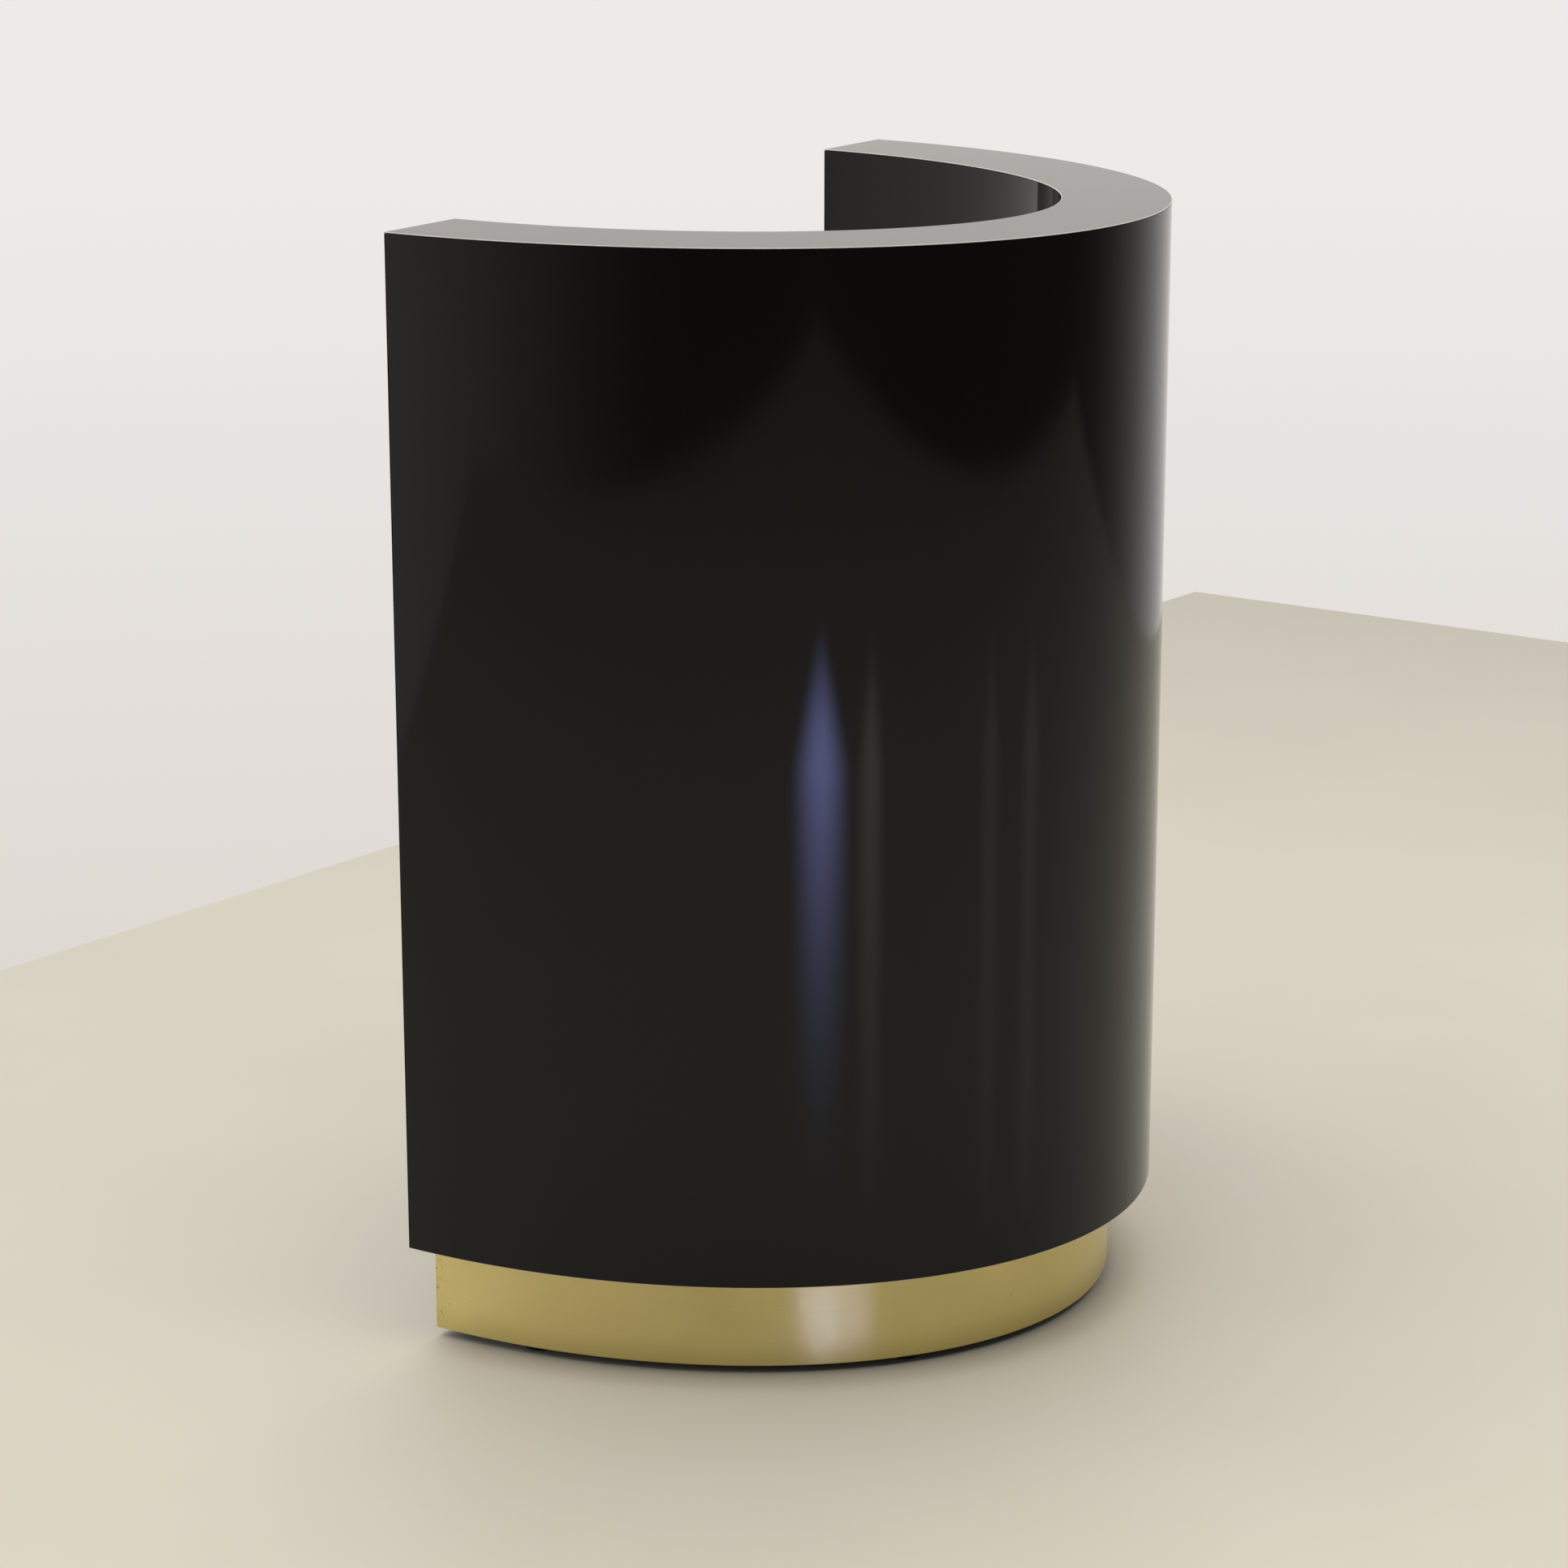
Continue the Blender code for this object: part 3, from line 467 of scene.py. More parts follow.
# Specks of contact glue, 2 to 4 mm, within 25 mm of the two ends
near_end = put(
    tree, "ShaderNodeMapRange",
    {"Value": axes.outputs["Y"], "From Min": kick_high.y - 0.025, "From Max": kick_high.y - 0.005,
     "To Min": 0.0, "To Max": 0.12},
)
blots = put(tree, "ShaderNodeTexNoise", {"Vector": place, "Scale": 210, "Detail": 4.0, "Roughness": 0.6})
thick = put(tree, "ShaderNodeMath", {0: blots.outputs["Fac"], 1: near_end.outputs["Result"]}, operation="ADD")
specks = put(
    tree, "ShaderNodeMapRange",
    {"Value": thick.outputs[0], "From Min": 0.70, "From Max": 0.78, "To Max": 0.45},
)
stained = put(
    tree, "ShaderNodeMix",
    {0: specks.outputs["Result"], 6: dulled.outputs[2], 7: linear("#5e4a22")}, data_type="RGBA",
)
tree.links.new(stained.outputs[2], shader.inputs["Base Color"])
haze = put(tree, "ShaderNodeTexNoise", {"Vector": place, "Scale": 18, "Detail": 3.0})
satin = put(
    tree, "ShaderNodeMapRange",
    {"Value": haze.outputs["Fac"], "From Min": 0.3, "From Max": 0.7, "To Min": 0.31, "To Max": 0.36},
)
tree.links.new(satin.outputs["Result"], shader.inputs["Roughness"])
core_paper, tree, shader, place = begin_finish("bare_laminate_core", Roughness=0.7, IOR=1.5)
# Brown resin-soaked paper, its cut edge chipped every millimetre or two
chips = put(tree, "ShaderNodeTexNoise", {"Vector": place, "Scale": 700, "Detail": 2.0})
resin = put(
    tree, "ShaderNodeMix",
    {0: chips.outputs["Fac"], 6: linear("#2e2417"), 7: linear("#5c4a30")}, data_type="RGBA",
)
tree.links.new(resin.outputs[2], shader.inputs["Base Color"])
kick = c_shape(KICK_INSET, KICK_INSET + LAMINATE, kick_low.z, kick_high.z)
ease(kick, 0.0003)
for face in kick.faces:
    at_end = face.calc_center_median().y > kick_high.y - TOUCHING
    face.material_index = at_end or abs(face.normal.z) > 0.9
kick_face = keep("toe_kick_face", kick, [gold, core_paper], "counter", "brushed_gold_sheet", "toe_kick")
gleam_receivers.objects.link(kick_face)

# ---------------------------------------------------------------------------------------------
# The frame inside the wall. Birch plywood ribs and battens, and two thin bent plywood skins, with
# fibreboard rails top, bottom and at the ends: sawn, glued and pinned, and left bare.


def plywood_finish(name, grain):
    """Birch plywood: a pale rotary-cut face veneer with long soft figure, sanded and unsealed."""
    material, tree, shader, place = begin_finish(name, IOR=1.5)
    along = put(tree, "ShaderNodeMapping", {"Vector": place, "Scale": grain})
    figure = put(
        tree, "ShaderNodeTexNoise",
        {"Vector": along.outputs[0], "Scale": 1.0, "Detail": 6.0, "Roughness": 0.62, "Distortion": 0.4},
    )
    pores = put(
        tree, "ShaderNodeTexNoise", {"Vector": along.outputs[0], "Scale": 9.0, "Detail": 2.0}
    )
    contrast = put(
        tree, "ShaderNodeMapRange", {"Value": figure.outputs["Fac"], "From Min": 0.3, "From Max": 0.7}
    )
    wood = put(
        tree, "ShaderNodeMix",
        {0: contrast.outputs["Result"], 6: linear("#b58e5f"), 7: linear("#dcc097")}, data_type="RGBA",
    )
    tree.links.new(wood.outputs[2], shader.inputs["Base Color"])
    sanded = put(
        tree, "ShaderNodeMapRange",
        {"Value": pores.outputs["Fac"], "From Min": 0.3, "From Max": 0.7, "To Min": 0.58, "To Max": 0.75},
    )
    tree.links.new(sanded.outputs["Result"], shader.inputs["Roughness"])
    raised = put(
        tree, "ShaderNodeBump", {"Height": pores.outputs["Fac"], "Distance": 0.0002, "Strength": 0.4}
    )
    tree.links.new(raised.outputs[0], shader.inputs["Normal"])
    return material


# Figure about 30 mm wide and 400 mm long, upright in the skins and battens, level in the ribs
upright_plywood = plywood_finish("upright_birch_plywood", (32, 32, 2.5))
level_plywood = plywood_finish("level_birch_plywood", (2.5, 32, 90))

fibreboard, tree, shader, place = begin_finish("sawn_fibreboard", Roughness=0.82, IOR=1.5)
# Pressed fibres, 1 to 2 mm long, cut through at the edges
fibres = put(tree, "ShaderNodeTexNoise", {"Vector": place, "Scale": 700, "Detail": 3.0, "Roughness": 0.7})
felt = put(
    tree, "ShaderNodeMix",
    {0: fibres.outputs["Fac"], 6: linear("#8a6d4b"), 7: linear("#b59671")}, data_type="RGBA",
)
tree.links.new(felt.outputs[2], shader.inputs["Base Color"])
fuzz = put(tree, "ShaderNodeBump", {"Height": fibres.outputs["Fac"], "Distance": 0.0002, "Strength": 0.5})
tree.links.new(fuzz.outputs[0], shader.inputs["Normal"])


def refinish(finish, *nodes):
    """Gives CAD nodes a finish."""
    for node in nodes:
        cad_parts[node].material_slots[0].material = finish


refinish(upright_plywood, "outer_skin", "inner_skin", *[f"stringer_{n}" for n in range(1, 6)])
refinish(level_plywood, "rib_lower", "rib_upper")
refinish(fibreboard, "top_board", "bottom_board", "left_end_board", "right_end_board")

# The plinth under it: two bent plywood webs on a curved plywood plate, and a rail across the open
# back, glued and screwed from inside, and sprayed satin black.
painted_wood, tree, shader, place = begin_finish("black_sprayed_wood", IOR=1.5)
# The grain under the paint still shows as a faint relief, 1 to 3 mm apart
along = put(tree, "ShaderNodeMapping", {"Vector": place, "Scale": (14, 14, 420)})
grain = put(tree, "ShaderNodeTexNoise", {"Vector": along.outputs[0], "Scale": 1.0, "Detail": 3.0})
relief = put(tree, "ShaderNodeBump", {"Height": grain.outputs["Fac"], "Distance": 0.00012, "Strength": 0.5})
tree.links.new(relief.outputs[0], shader.inputs["Normal"])
scuffs = put(tree, "ShaderNodeTexNoise", {"Vector": place, "Scale": 28, "Detail": 5.0, "Roughness": 0.65})
paint = put(
    tree, "ShaderNodeMix",
    {0: scuffs.outputs["Fac"], 6: linear("#161616"), 7: linear("#262525")}, data_type="RGBA",
)
tree.links.new(paint.outputs[2], shader.inputs["Base Color"])
sheen = put(
    tree, "ShaderNodeMapRange",
    {"Value": scuffs.outputs["Fac"], "From Min": 0.3, "From Max": 0.7, "To Min": 0.42, "To Max": 0.58},
)
tree.links.new(sheen.outputs["Result"], shader.inputs["Roughness"])
refinish(painted_wood, "plinth_front_web", "plinth_rear_web", "plinth_plate", "plinth_back_rail")
refinish(level_plywood, "deck_cleat")

# ---------------------------------------------------------------------------------------------
# Levelling feet. A nylon pad moulded on an M8 stud, which screws up into a zinc-plated steel insert
# in the plinth's plate. Four of them hold the plinth just off the floor.


def moulded_finish(name, colour, roughness):
    """Injection-moulded plastic with a fine spark-eroded texture, grains about 0.3 mm apart."""
    material, tree, shader, place = begin_finish(name, IOR=1.49)
    grains = put(tree, "ShaderNodeTexNoise", {"Vector": place, "Scale": 3200, "Detail": 1.0})
    texture = put(
        tree, "ShaderNodeBump", {"Height": grains.outputs["Fac"], "Distance": 0.000006, "Strength": 0.6}
    )
    tree.links.new(texture.outputs[0], shader.inputs["Normal"])
    worn = put(tree, "ShaderNodeTexNoise", {"Vector": place, "Scale": 60, "Detail": 3.0})
    satin = put(
        tree, "ShaderNodeMapRange",
        {"Value": worn.outputs["Fac"], "From Min": 0.3, "From Max": 0.7,
         "To Min": roughness - 0.06, "To Max": roughness + 0.06},
    )
    tree.links.new(satin.outputs["Result"], shader.inputs["Roughness"])
    shade = put(
        tree, "ShaderNodeMix",
        {0: worn.outputs["Fac"], 6: linear(colour), 7: linear("#242424")}, data_type="RGBA",
    )
    tree.links.new(shade.outputs[2], shader.inputs["Base Color"])
    return material


def plated_finish(name, dark, light, roughness, patch_size, grain):
    """Bright electroplate over brushed metal: clouded in patches, with a fine grain drawn one way."""
    material, tree, shader, place = begin_finish(name, Metallic=1.0)
    clouds = put(tree, "ShaderNodeTexNoise", {"Vector": place, "Scale": 1 / patch_size, "Detail": 4.0})
    metal = put(
        tree, "ShaderNodeMix",
        {0: clouds.outputs["Fac"], 6: linear(dark), 7: linear(light)}, data_type="RGBA",
    )
    tree.links.new(metal.outputs[2], shader.inputs["Base Color"])
    drawn = put(tree, "ShaderNodeMapping", {"Vector": place, "Scale": grain})
    lines = put(tree, "ShaderNodeTexNoise", {"Vector": drawn.outputs[0], "Scale": 1.0, "Detail": 2.0})
    ridges = put(
        tree, "ShaderNodeBump", {"Height": lines.outputs["Fac"], "Distance": 0.000005, "Strength": 0.5}
    )
    tree.links.new(ridges.outputs[0], shader.inputs["Normal"])
    dulled = put(
        tree, "ShaderNodeMapRange",
        {"Value": clouds.outputs["Fac"], "From Min": 0.3, "From Max": 0.7,
         "To Min": roughness, "To Max": roughness + 0.1},
    )
    tree.links.new(dulled.outputs["Result"], shader.inputs["Roughness"])
    return material


black_nylon = moulded_finish("black_moulded_nylon", "#161616", 0.42)
zinc = plated_finish("zinc_plated_steel", "#a9adb0", "#c9cccb", 0.28, 0.02, (2600, 60, 2600))


def set_down(shape, place, axis):
    """Turns a shape made upright at the origin to an axis, and moves it to a place."""
    turn = Vector((0, 0, 1)).rotation_difference(Vector(axis)).to_matrix()
    bmesh.ops.rotate(shape, verts=shape.verts, cent=(0, 0, 0), matrix=turn)
    bmesh.ops.translate(shape, verts=shape.verts, vec=place)


def turned(profile, centre, axis=(0, 0, 1), steps=48, closed=False):
    """A profile of (radius, distance) points spun round an axis through a centre."""
    shape = bmesh.new()
    points = [shape.verts.new((radius, 0, distance)) for radius, distance in profile]
    edges = [shape.edges.new(pair) for pair in zip(points, points[1:])]
    if closed:
        edges.append(shape.edges.new((points[-1], points[0])))
    bmesh.ops.spin(
        shape, geom=points + edges, cent=(0, 0, 0), axis=(0, 0, 1), angle=2 * math.pi, steps=steps,
        use_merge=True,
    )
    bmesh.ops.remove_doubles(shape, verts=shape.verts, dist=0.000001)
    set_down(shape, centre, axis)
    bmesh.ops.recalc_face_normals(shape, faces=shape.faces)
    return shape


STUD_RADIUS = 0.004
PAD_TOP = 0.0072
THREAD_PITCH = 0.00125
THREAD_DEPTH = 0.0006
for number in range(1, 5):
    low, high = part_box(f"levelling_foot_{number}")
    pad_radius = (high.x - low.x) / 2
    profile = [
        (0, 0), (pad_radius - 0.0015, 0), (pad_radius - 0.0004, 0.0004), (pad_radius, 0.0014),
        (pad_radius, 0.0024), (pad_radius - 0.0006, 0.0031), (0.0075, 0.0050), (0.0065, 0.0058),
        (0.0065, 0.0070), (0.0060, PAD_TOP), (STUD_RADIUS, PAD_TOP),
    ]
    stud_bottom = PAD_TOP + 0.0006
    turns = int((high.z - stud_bottom) / THREAD_PITCH) - 1
    for turn in range(turns):
        crest = stud_bottom + turn * THREAD_PITCH
        profile += [(STUD_RADIUS - THREAD_DEPTH, crest), (STUD_RADIUS, crest + THREAD_PITCH / 2)]
    profile += [(STUD_RADIUS - THREAD_DEPTH, high.z - 0.0004), (STUD_RADIUS - 0.0012, high.z), (0, high.z)]
    foot = turned(profile, ((low.x + high.x) / 2, (low.y + high.y) / 2, 0), steps=32)
    for face in foot.faces:
        face.material_index = face.calc_center_median().z > PAD_TOP + TOUCHING
    keep(
        f"levelling_pad_{number}", foot, [black_nylon, zinc], f"foot_{number}", "black_plastic",
        f"levelling_foot_{number}", sharp=35,
    )
refinish(zinc, *[f"threaded_insert_{n}" for n in range(1, 5)])

# ---------------------------------------------------------------------------------------------
# The operator's cabinet. Melamine-faced chipboard, 18 mm, in charcoal, its front edges banded with
# 1 mm ABS in the same colour: a floor panel, two drilled partitions, a shelf, a thin back and a lock
# rail.

melamine, tree, shader, place = begin_finish("charcoal_melamine_board", IOR=1.5)
# Pearl texture from the press paper, dimples about 1.2 mm apart
dimples = put(
    tree, "ShaderNodeTexVoronoi", {"Vector": place, "Scale": 830, "Randomness": 1.0}, feature="SMOOTH_F1"
)
pearl = put(
    tree, "ShaderNodeBump", {"Height": dimples.outputs["Distance"], "Distance": 0.00008, "Strength": 0.5}
)
tree.links.new(pearl.outputs[0], shader.inputs["Normal"])
print_tone = put(tree, "ShaderNodeTexNoise", {"Vector": place, "Scale": 9, "Detail": 5.0, "Roughness": 0.6})
charcoal = put(
    tree, "ShaderNodeMix",
    {0: print_tone.outputs["Fac"], 6: linear("#343538"), 7: linear("#404144")}, data_type="RGBA",
)
tree.links.new(charcoal.outputs[2], shader.inputs["Base Color"])
rubbed = put(
    tree, "ShaderNodeMapRange",
    {"Value": print_tone.outputs["Fac"], "From Min": 0.3, "From Max": 0.7, "To Min": 0.40, "To Max": 0.52},
)
tree.links.new(rubbed.outputs["Result"], shader.inputs["Roughness"])
edge_band = moulded_finish("charcoal_edge_band", "#2b2c2e", 0.36)

BAND = 0.001
BAND_ROUND = 0.0008


def band_front(shape, front):
    """Marks off the strip of a board that is its edge band, and gives it the second finish."""
    geometry = shape.verts[:] + shape.edges[:] + shape.faces[:]
    bmesh.ops.bisect_plane(
        shape, geom=geometry, dist=0.000001, plane_co=(0, front - BAND, 0), plane_no=(0, 1, 0)
    )
    for face in shape.faces:
        face.material_index = face.calc_center_median().y > front - BAND


def banded_board(name, node):
    """A block of board where a CAD node is, its edges eased and its operator's side banded."""
    low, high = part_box(node)
    shape = block(low, high)
    ease(shape, BAND_ROUND, segments=3)
    band_front(shape, high.y)
    keep(name, shape, [melamine, edge_band], "counter", "charcoal_melamine", node)


def oval_board(depth, low, high, back, hole=None):
    """A board that fills the wall's plan in from a depth, cut square at the back. A round hole on the
    middle line is its place from front to back and its radius."""
    shape = bmesh.new()
    oval_ring(shape, depth)
    trim(shape, back)
    ends = [corner for corner in shape.verts if len(corner.link_edges) == 1]
    shape.edges.new(ends)
    if hole:
        hole_y, hole_radius = hole
        bmesh.ops.create_circle(
            shape, segments=72, radius=hole_radius, matrix=Matrix.Translation((0, hole_y, 0))
        )
    bmesh.ops.triangle_fill(shape, edges=shape.edges[:], use_beauty=True, normal=(0, 0, 1))
    raise_flat(shape, low, high)
    return shape


GAP = 0.0003  # between pieces that are let into one another
INSIDE = WALL + GAP
deck_low, deck_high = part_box("bottom_deck")
deck = oval_board(INSIDE, deck_low.z, deck_high.z, deck_high.y)
ease(deck, 0.0005, within=lambda edge: all(v.co.y > deck_high.y - TOUCHING for v in edge.verts))
band_front(deck, deck_high.y)
keep("cabinet_floor", deck, [melamine, edge_band], "counter", "charcoal_melamine", "bottom_deck")
banded_board("adjustable_shelf", "shelf")
banded_board("drawer_rail", "lock_rail")
banded_board("cabinet_back", "carcass_back")


def outline(shape, points):
    """Adds a closed loop of edges through points to a bmesh. Returns the edges."""
    corners = [shape.verts.new(point) for point in points]
    return [shape.edges.new((corners[k], corners[k - 1])) for k in range(len(corners))]


# Partitions, drilled in two rows for 5 mm shelf pins, 32 mm apart
SIDES = (("left", -1), ("right", 1))
PIN_PITCH = 0.032
PIN_ROWS = 5
HOLE_RADIUS = 0.0028
HOLE_DEPTH = 0.009
LONG_EDGE = 0.01  # longer than any edge round a hole
pin_boxes = [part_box(f"shelf_pin_{number}") for number in range(1, 5)]
pin_z = (pin_boxes[0][0].z + pin_boxes[0][1].z) / 2
pin_lines = sorted({round((low.y + high.y) / 2, 5) for low, high in pin_boxes})
for side, outwards in SIDES:
    low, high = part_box(f"{side}_partition")
    face_x = min(low.x, high.x, key=abs)
    thick = (high.x - low.x) * outwards
    panel = bmesh.new()
    rim = outline(panel, [(face_x, y, z) for y, z in (
        (low.y, low.z), (high.y, low.z), (high.y, high.z), (low.y, high.z))])
    rings = []
    for row in range(PIN_ROWS):
        for y in pin_lines:
            spot = (face_x, y, pin_z + (row - PIN_ROWS // 2) * PIN_PITCH)
            hole = bmesh.ops.create_circle(
                panel, segments=20, radius=HOLE_RADIUS,
                matrix=Matrix.Translation(spot) @ Matrix.Rotation(math.pi / 2, 4, "Y"),
            )["verts"]
            rings.append([edge for edge in panel.edges if set(edge.verts) <= set(hole)])
    bmesh.ops.triangle_fill(panel, edges=panel.edges[:], use_beauty=True, normal=(1, 0, 0))
    for loop, depth in [(rim, thick)] + [(ring, HOLE_DEPTH * outwards) for ring in rings]:
        bmesh.ops.contextual_create(panel, geom=grow(panel, loop, (depth, 0, 0)))
    bmesh.ops.recalc_face_normals(panel, faces=panel.faces)
    ease(panel, BAND_ROUND, within=lambda edge: edge.calc_length() > LONG_EDGE)
    band_front(panel, high.y)
    keep(f"drilled_{side}_partition", panel, [melamine, edge_band], "counter", "charcoal_melamine",
         f"{side}_partition")

# Shelf pins: zinc-plated pegs with a collar that stops them in their holes
PEG_RADIUS = 0.0025
for number, (low, high) in enumerate(pin_boxes, 1):
    outwards = math.copysign(1, low.x)
    tip, root = sorted((abs(low.x), abs(high.x)))
    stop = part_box("right_partition")[0].x
    peg = turned(
        (
            (0, tip), (0.0019, tip), (PEG_RADIUS, tip + 0.0006), (PEG_RADIUS, stop - 0.0010),
            (0.0036, stop - 0.0009), (0.0038, stop - 0.0006), (0.0038, stop - 0.0001),
            (PEG_RADIUS, stop - 0.0001), (PEG_RADIUS, root - 0.0006), (0.0020, root), (0, root),
        ),
        (0, (low.y + high.y) / 2, pin_z), (outwards, 0, 0), steps=24,
    )
    keep(f"shelf_peg_{number}", peg, zinc, "counter", "zinc_plated_steel", f"shelf_pin_{number}", sharp=35)

# ---------------------------------------------------------------------------------------------
# The worktop. Fibreboard, 25 mm, faced with the same gloss laminate, let in between the wall's inner
# faces on a plywood cleat, its open edge banded with 2 mm black ABS rounded over.

refinish(painted_wood, "worktop_cleat")
top_low, top_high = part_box("worktop")
liner_low, liner_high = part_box("grommet_liner")
outlet_y = (liner_low.y + liner_high.y) / 2
OUTLET_HOLE = 0.0303
worktop = oval_board(INSIDE, top_low.z, top_high.z, top_high.y, (outlet_y, OUTLET_HOLE))
keep("worktop_board", worktop, flat_laminate, "counter", "laminated_board", "worktop")
strip_low, strip_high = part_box("worktop_edge")
strip = block(strip_low, strip_high)
ease(strip, 0.0014, segments=5, within=lambda edge: all(v.co.y > strip_high.y - TOUCHING for v in edge.verts))
black_abs = moulded_finish("black_abs_edge", "#121212", 0.28)
keep("worktop_edge_band", strip, black_abs, "counter", "black_plastic", "worktop_edge")

# The cable outlet: an ABS liner pressed into the worktop, with a cap that turns in it and has a
# notch for cables. The cap drops on to a ledge and can be lifted out.
LINER_RADIUS = OUTLET_HOLE - GAP
LINER_BORE = LINER_RADIUS - 0.0015
RIM_RADIUS = (liner_high.x - liner_low.x) / 2
RIM = 0.002
LEDGE_RADIUS = 0.0265
cap_low, cap_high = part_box("grommet_cap")
ledge = cap_low.z - GAP
rim_top = liner_high.z
liner = turned(
    (
        (LINER_BORE, liner_low.z), (LINER_RADIUS, liner_low.z), (LINER_RADIUS, rim_top - RIM),
        (RIM_RADIUS - 0.0002, rim_top - RIM), (RIM_RADIUS, rim_top - 0.0017),
        (RIM_RADIUS, rim_top - 0.0012), (RIM_RADIUS - 0.0006, rim_top - 0.0004),
        (RIM_RADIUS - 0.0016, rim_top), (LINER_BORE + 0.0004, rim_top), (LINER_BORE, rim_top - 0.0004),
        (LINER_BORE, ledge), (LEDGE_RADIUS, ledge), (LEDGE_RADIUS, ledge - RIM), (LINER_BORE, ledge - RIM),
    ),
    (0, outlet_y, 0), steps=96, closed=True,
)
black_cap_plastic = moulded_finish("black_moulded_abs", "#191919", 0.38)
keep("outlet_liner", liner, black_cap_plastic, "counter", "black_plastic", "grommet_liner", sharp=40)

CAP_RADIUS = LINER_BORE - GAP
CAP_STEPS = 72
NOTCH_HALF = 0.007
NOTCH_STEPS = 12
NOTCH_MIDDLE = CAP_RADIUS - 2 * NOTCH_HALF  # from the cap's centre to the centre of the notch's round end
SKIRT = 0.0016
mouth_angle = math.asin(NOTCH_HALF / CAP_RADIUS)
cap = bmesh.new()
rim_points = []
for step in range(CAP_STEPS + 1):
    angle = -math.pi / 2 + mouth_angle + step * (2 * math.pi - 2 * mouth_angle) / CAP_STEPS
    rim_points.append((CAP_RADIUS * math.cos(angle), CAP_RADIUS * math.sin(angle)))
for step in range(NOTCH_STEPS + 1):
    angle = math.pi - math.pi * step / NOTCH_STEPS
    rim_points.append((NOTCH_HALF * math.cos(angle), NOTCH_HALF * math.sin(angle) - NOTCH_MIDDLE))
plate = cap.faces.new([cap.verts.new((x, y + outlet_y, cap_high.z - RIM)) for x, y in rim_points])
grow(cap, [plate], (0, 0, RIM))
bmesh.ops.recalc_face_normals(cap, faces=cap.faces)
ease(cap, 0.0004, within=lambda edge: all(v.co.z > cap_high.z - TOUCHING for v in edge.verts))
underside = [face for face in cap.faces if face.normal.z < -0.9]
ring = bmesh.ops.inset_region(cap, faces=underside, thickness=SKIRT, use_even_offset=True)["faces"]
grow(cap, ring, (0, 0, cap_low.z - cap_high.z + RIM))
bmesh.ops.delete(cap, geom=[face for face in ring if face.is_valid], context="FACES_ONLY")
bmesh.ops.recalc_face_normals(cap, faces=cap.faces)
keep("outlet_cap", cap, black_cap_plastic, "cable_cap", "black_plastic", "grommet_cap")

# ---------------------------------------------------------------------------------------------
# The drawer. A laminated front, inset flush between the partitions, on a shallow folded steel tray
# with a fine black powder coat, which two ball-bearing slides carry.

FRONT_EASED = 0.0006
lock_low, lock_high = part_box("lock_housing")
lock_z = (lock_low.z + lock_high.z) / 2
LOCK_HOLE = 0.0083
front_low, front_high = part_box("drawer_front")
front = bmesh.new()
outline(front, [(x, front_low.y, z) for x, z in (
    (front_low.x, front_low.z), (front_high.x, front_low.z),
    (front_high.x, front_high.z), (front_low.x, front_high.z))])
bmesh.ops.create_circle(
    front, segments=48, radius=LOCK_HOLE,
    matrix=Matrix.Translation((0, front_low.y, lock_z)) @ Matrix.Rotation(math.pi / 2, 4, "X"),
)
bmesh.ops.triangle_fill(front, edges=front.edges[:], use_beauty=True, normal=(0, 1, 0))
grow(front, front.faces[:], (0, front_high.y - front_low.y, 0))
bmesh.ops.recalc_face_normals(front, faces=front.faces)
ease(front, FRONT_EASED, segments=3, within=lambda edge: edge.calc_length() > LONG_EDGE)
for face in front.faces:
    face.material_index = abs(face.normal.y) < 0.3
keep("laminated_drawer_front", front, [flat_laminate, black_abs], "drawer", "laminated_board", "drawer_front")

powder_coat, tree, shader, place = begin_finish("black_powder_coated_steel", Roughness=0.5, IOR=1.5)
# Fine-texture powder, grains about 0.5 mm apart
powder = put(tree, "ShaderNodeTexNoise", {"Vector": place, "Scale": 2000, "Detail": 2.0})
texture = put(tree, "ShaderNodeBump", {"Height": powder.outputs["Fac"], "Distance": 0.00008, "Strength": 0.7})
tree.links.new(texture.outputs[0], shader.inputs["Normal"])
coat = put(
    tree, "ShaderNodeMix",
    {0: powder.outputs["Fac"], 6: linear("#1b1b1b"), 7: linear("#2b2b2b")}, data_type="RGBA",
)
tree.links.new(coat.outputs[2], shader.inputs["Base Color"])

STEEL = 0.0012
TRAY_BEND = 0.003
tray_low, tray_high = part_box("drawer_tray")
tray = block(tray_low, tray_high)
open_top = [face for face in tray.faces if face.calc_center_median().z > tray_high.z - TOUCHING]
bmesh.ops.delete(tray, geom=open_top, context="FACES_ONLY")
ease(tray, TRAY_BEND, segments=5, steeper_than=80)
bmesh.ops.recalc_face_normals(tray, faces=tray.faces)
bmesh.ops.solidify(tray, geom=tray.faces[:], thickness=STEEL)
keep("folded_tray", tray, powder_coat, "drawer", "powder_coated_steel", "drawer_tray", sharp=30)

# The bar pull: 10 mm brass rod, bent at both ends, nickel-plated and brushed, tapped for two bolts
nickel = plated_finish("brushed_nickel_plated_brass", "#b9b4a6", "#d2cdc0", 0.22, 0.03, (60, 2600, 2600))
pull_low, pull_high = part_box("drawer_pull")
PULL_RADIUS = (pull_high.z - pull_low.z) / 2
PULL_CORNER = 0.009
span = pull_high.x - PULL_RADIUS
reach = pull_high.y - PULL_RADIUS
pull_z = (pull_high.z + pull_low.z) / 2
rod = bmesh.new()
bmesh.ops.create_circle(
    rod, cap_ends=False, segments=32, radius=PULL_RADIUS,
    matrix=Matrix.Translation((-span, pull_low.y, pull_z)) @ Matrix.Rotation(math.pi / 2, 4, "X"),
)
leg = reach - PULL_CORNER - pull_low.y
tip = grow(rod, rod.edges[:], (0, leg, 0))


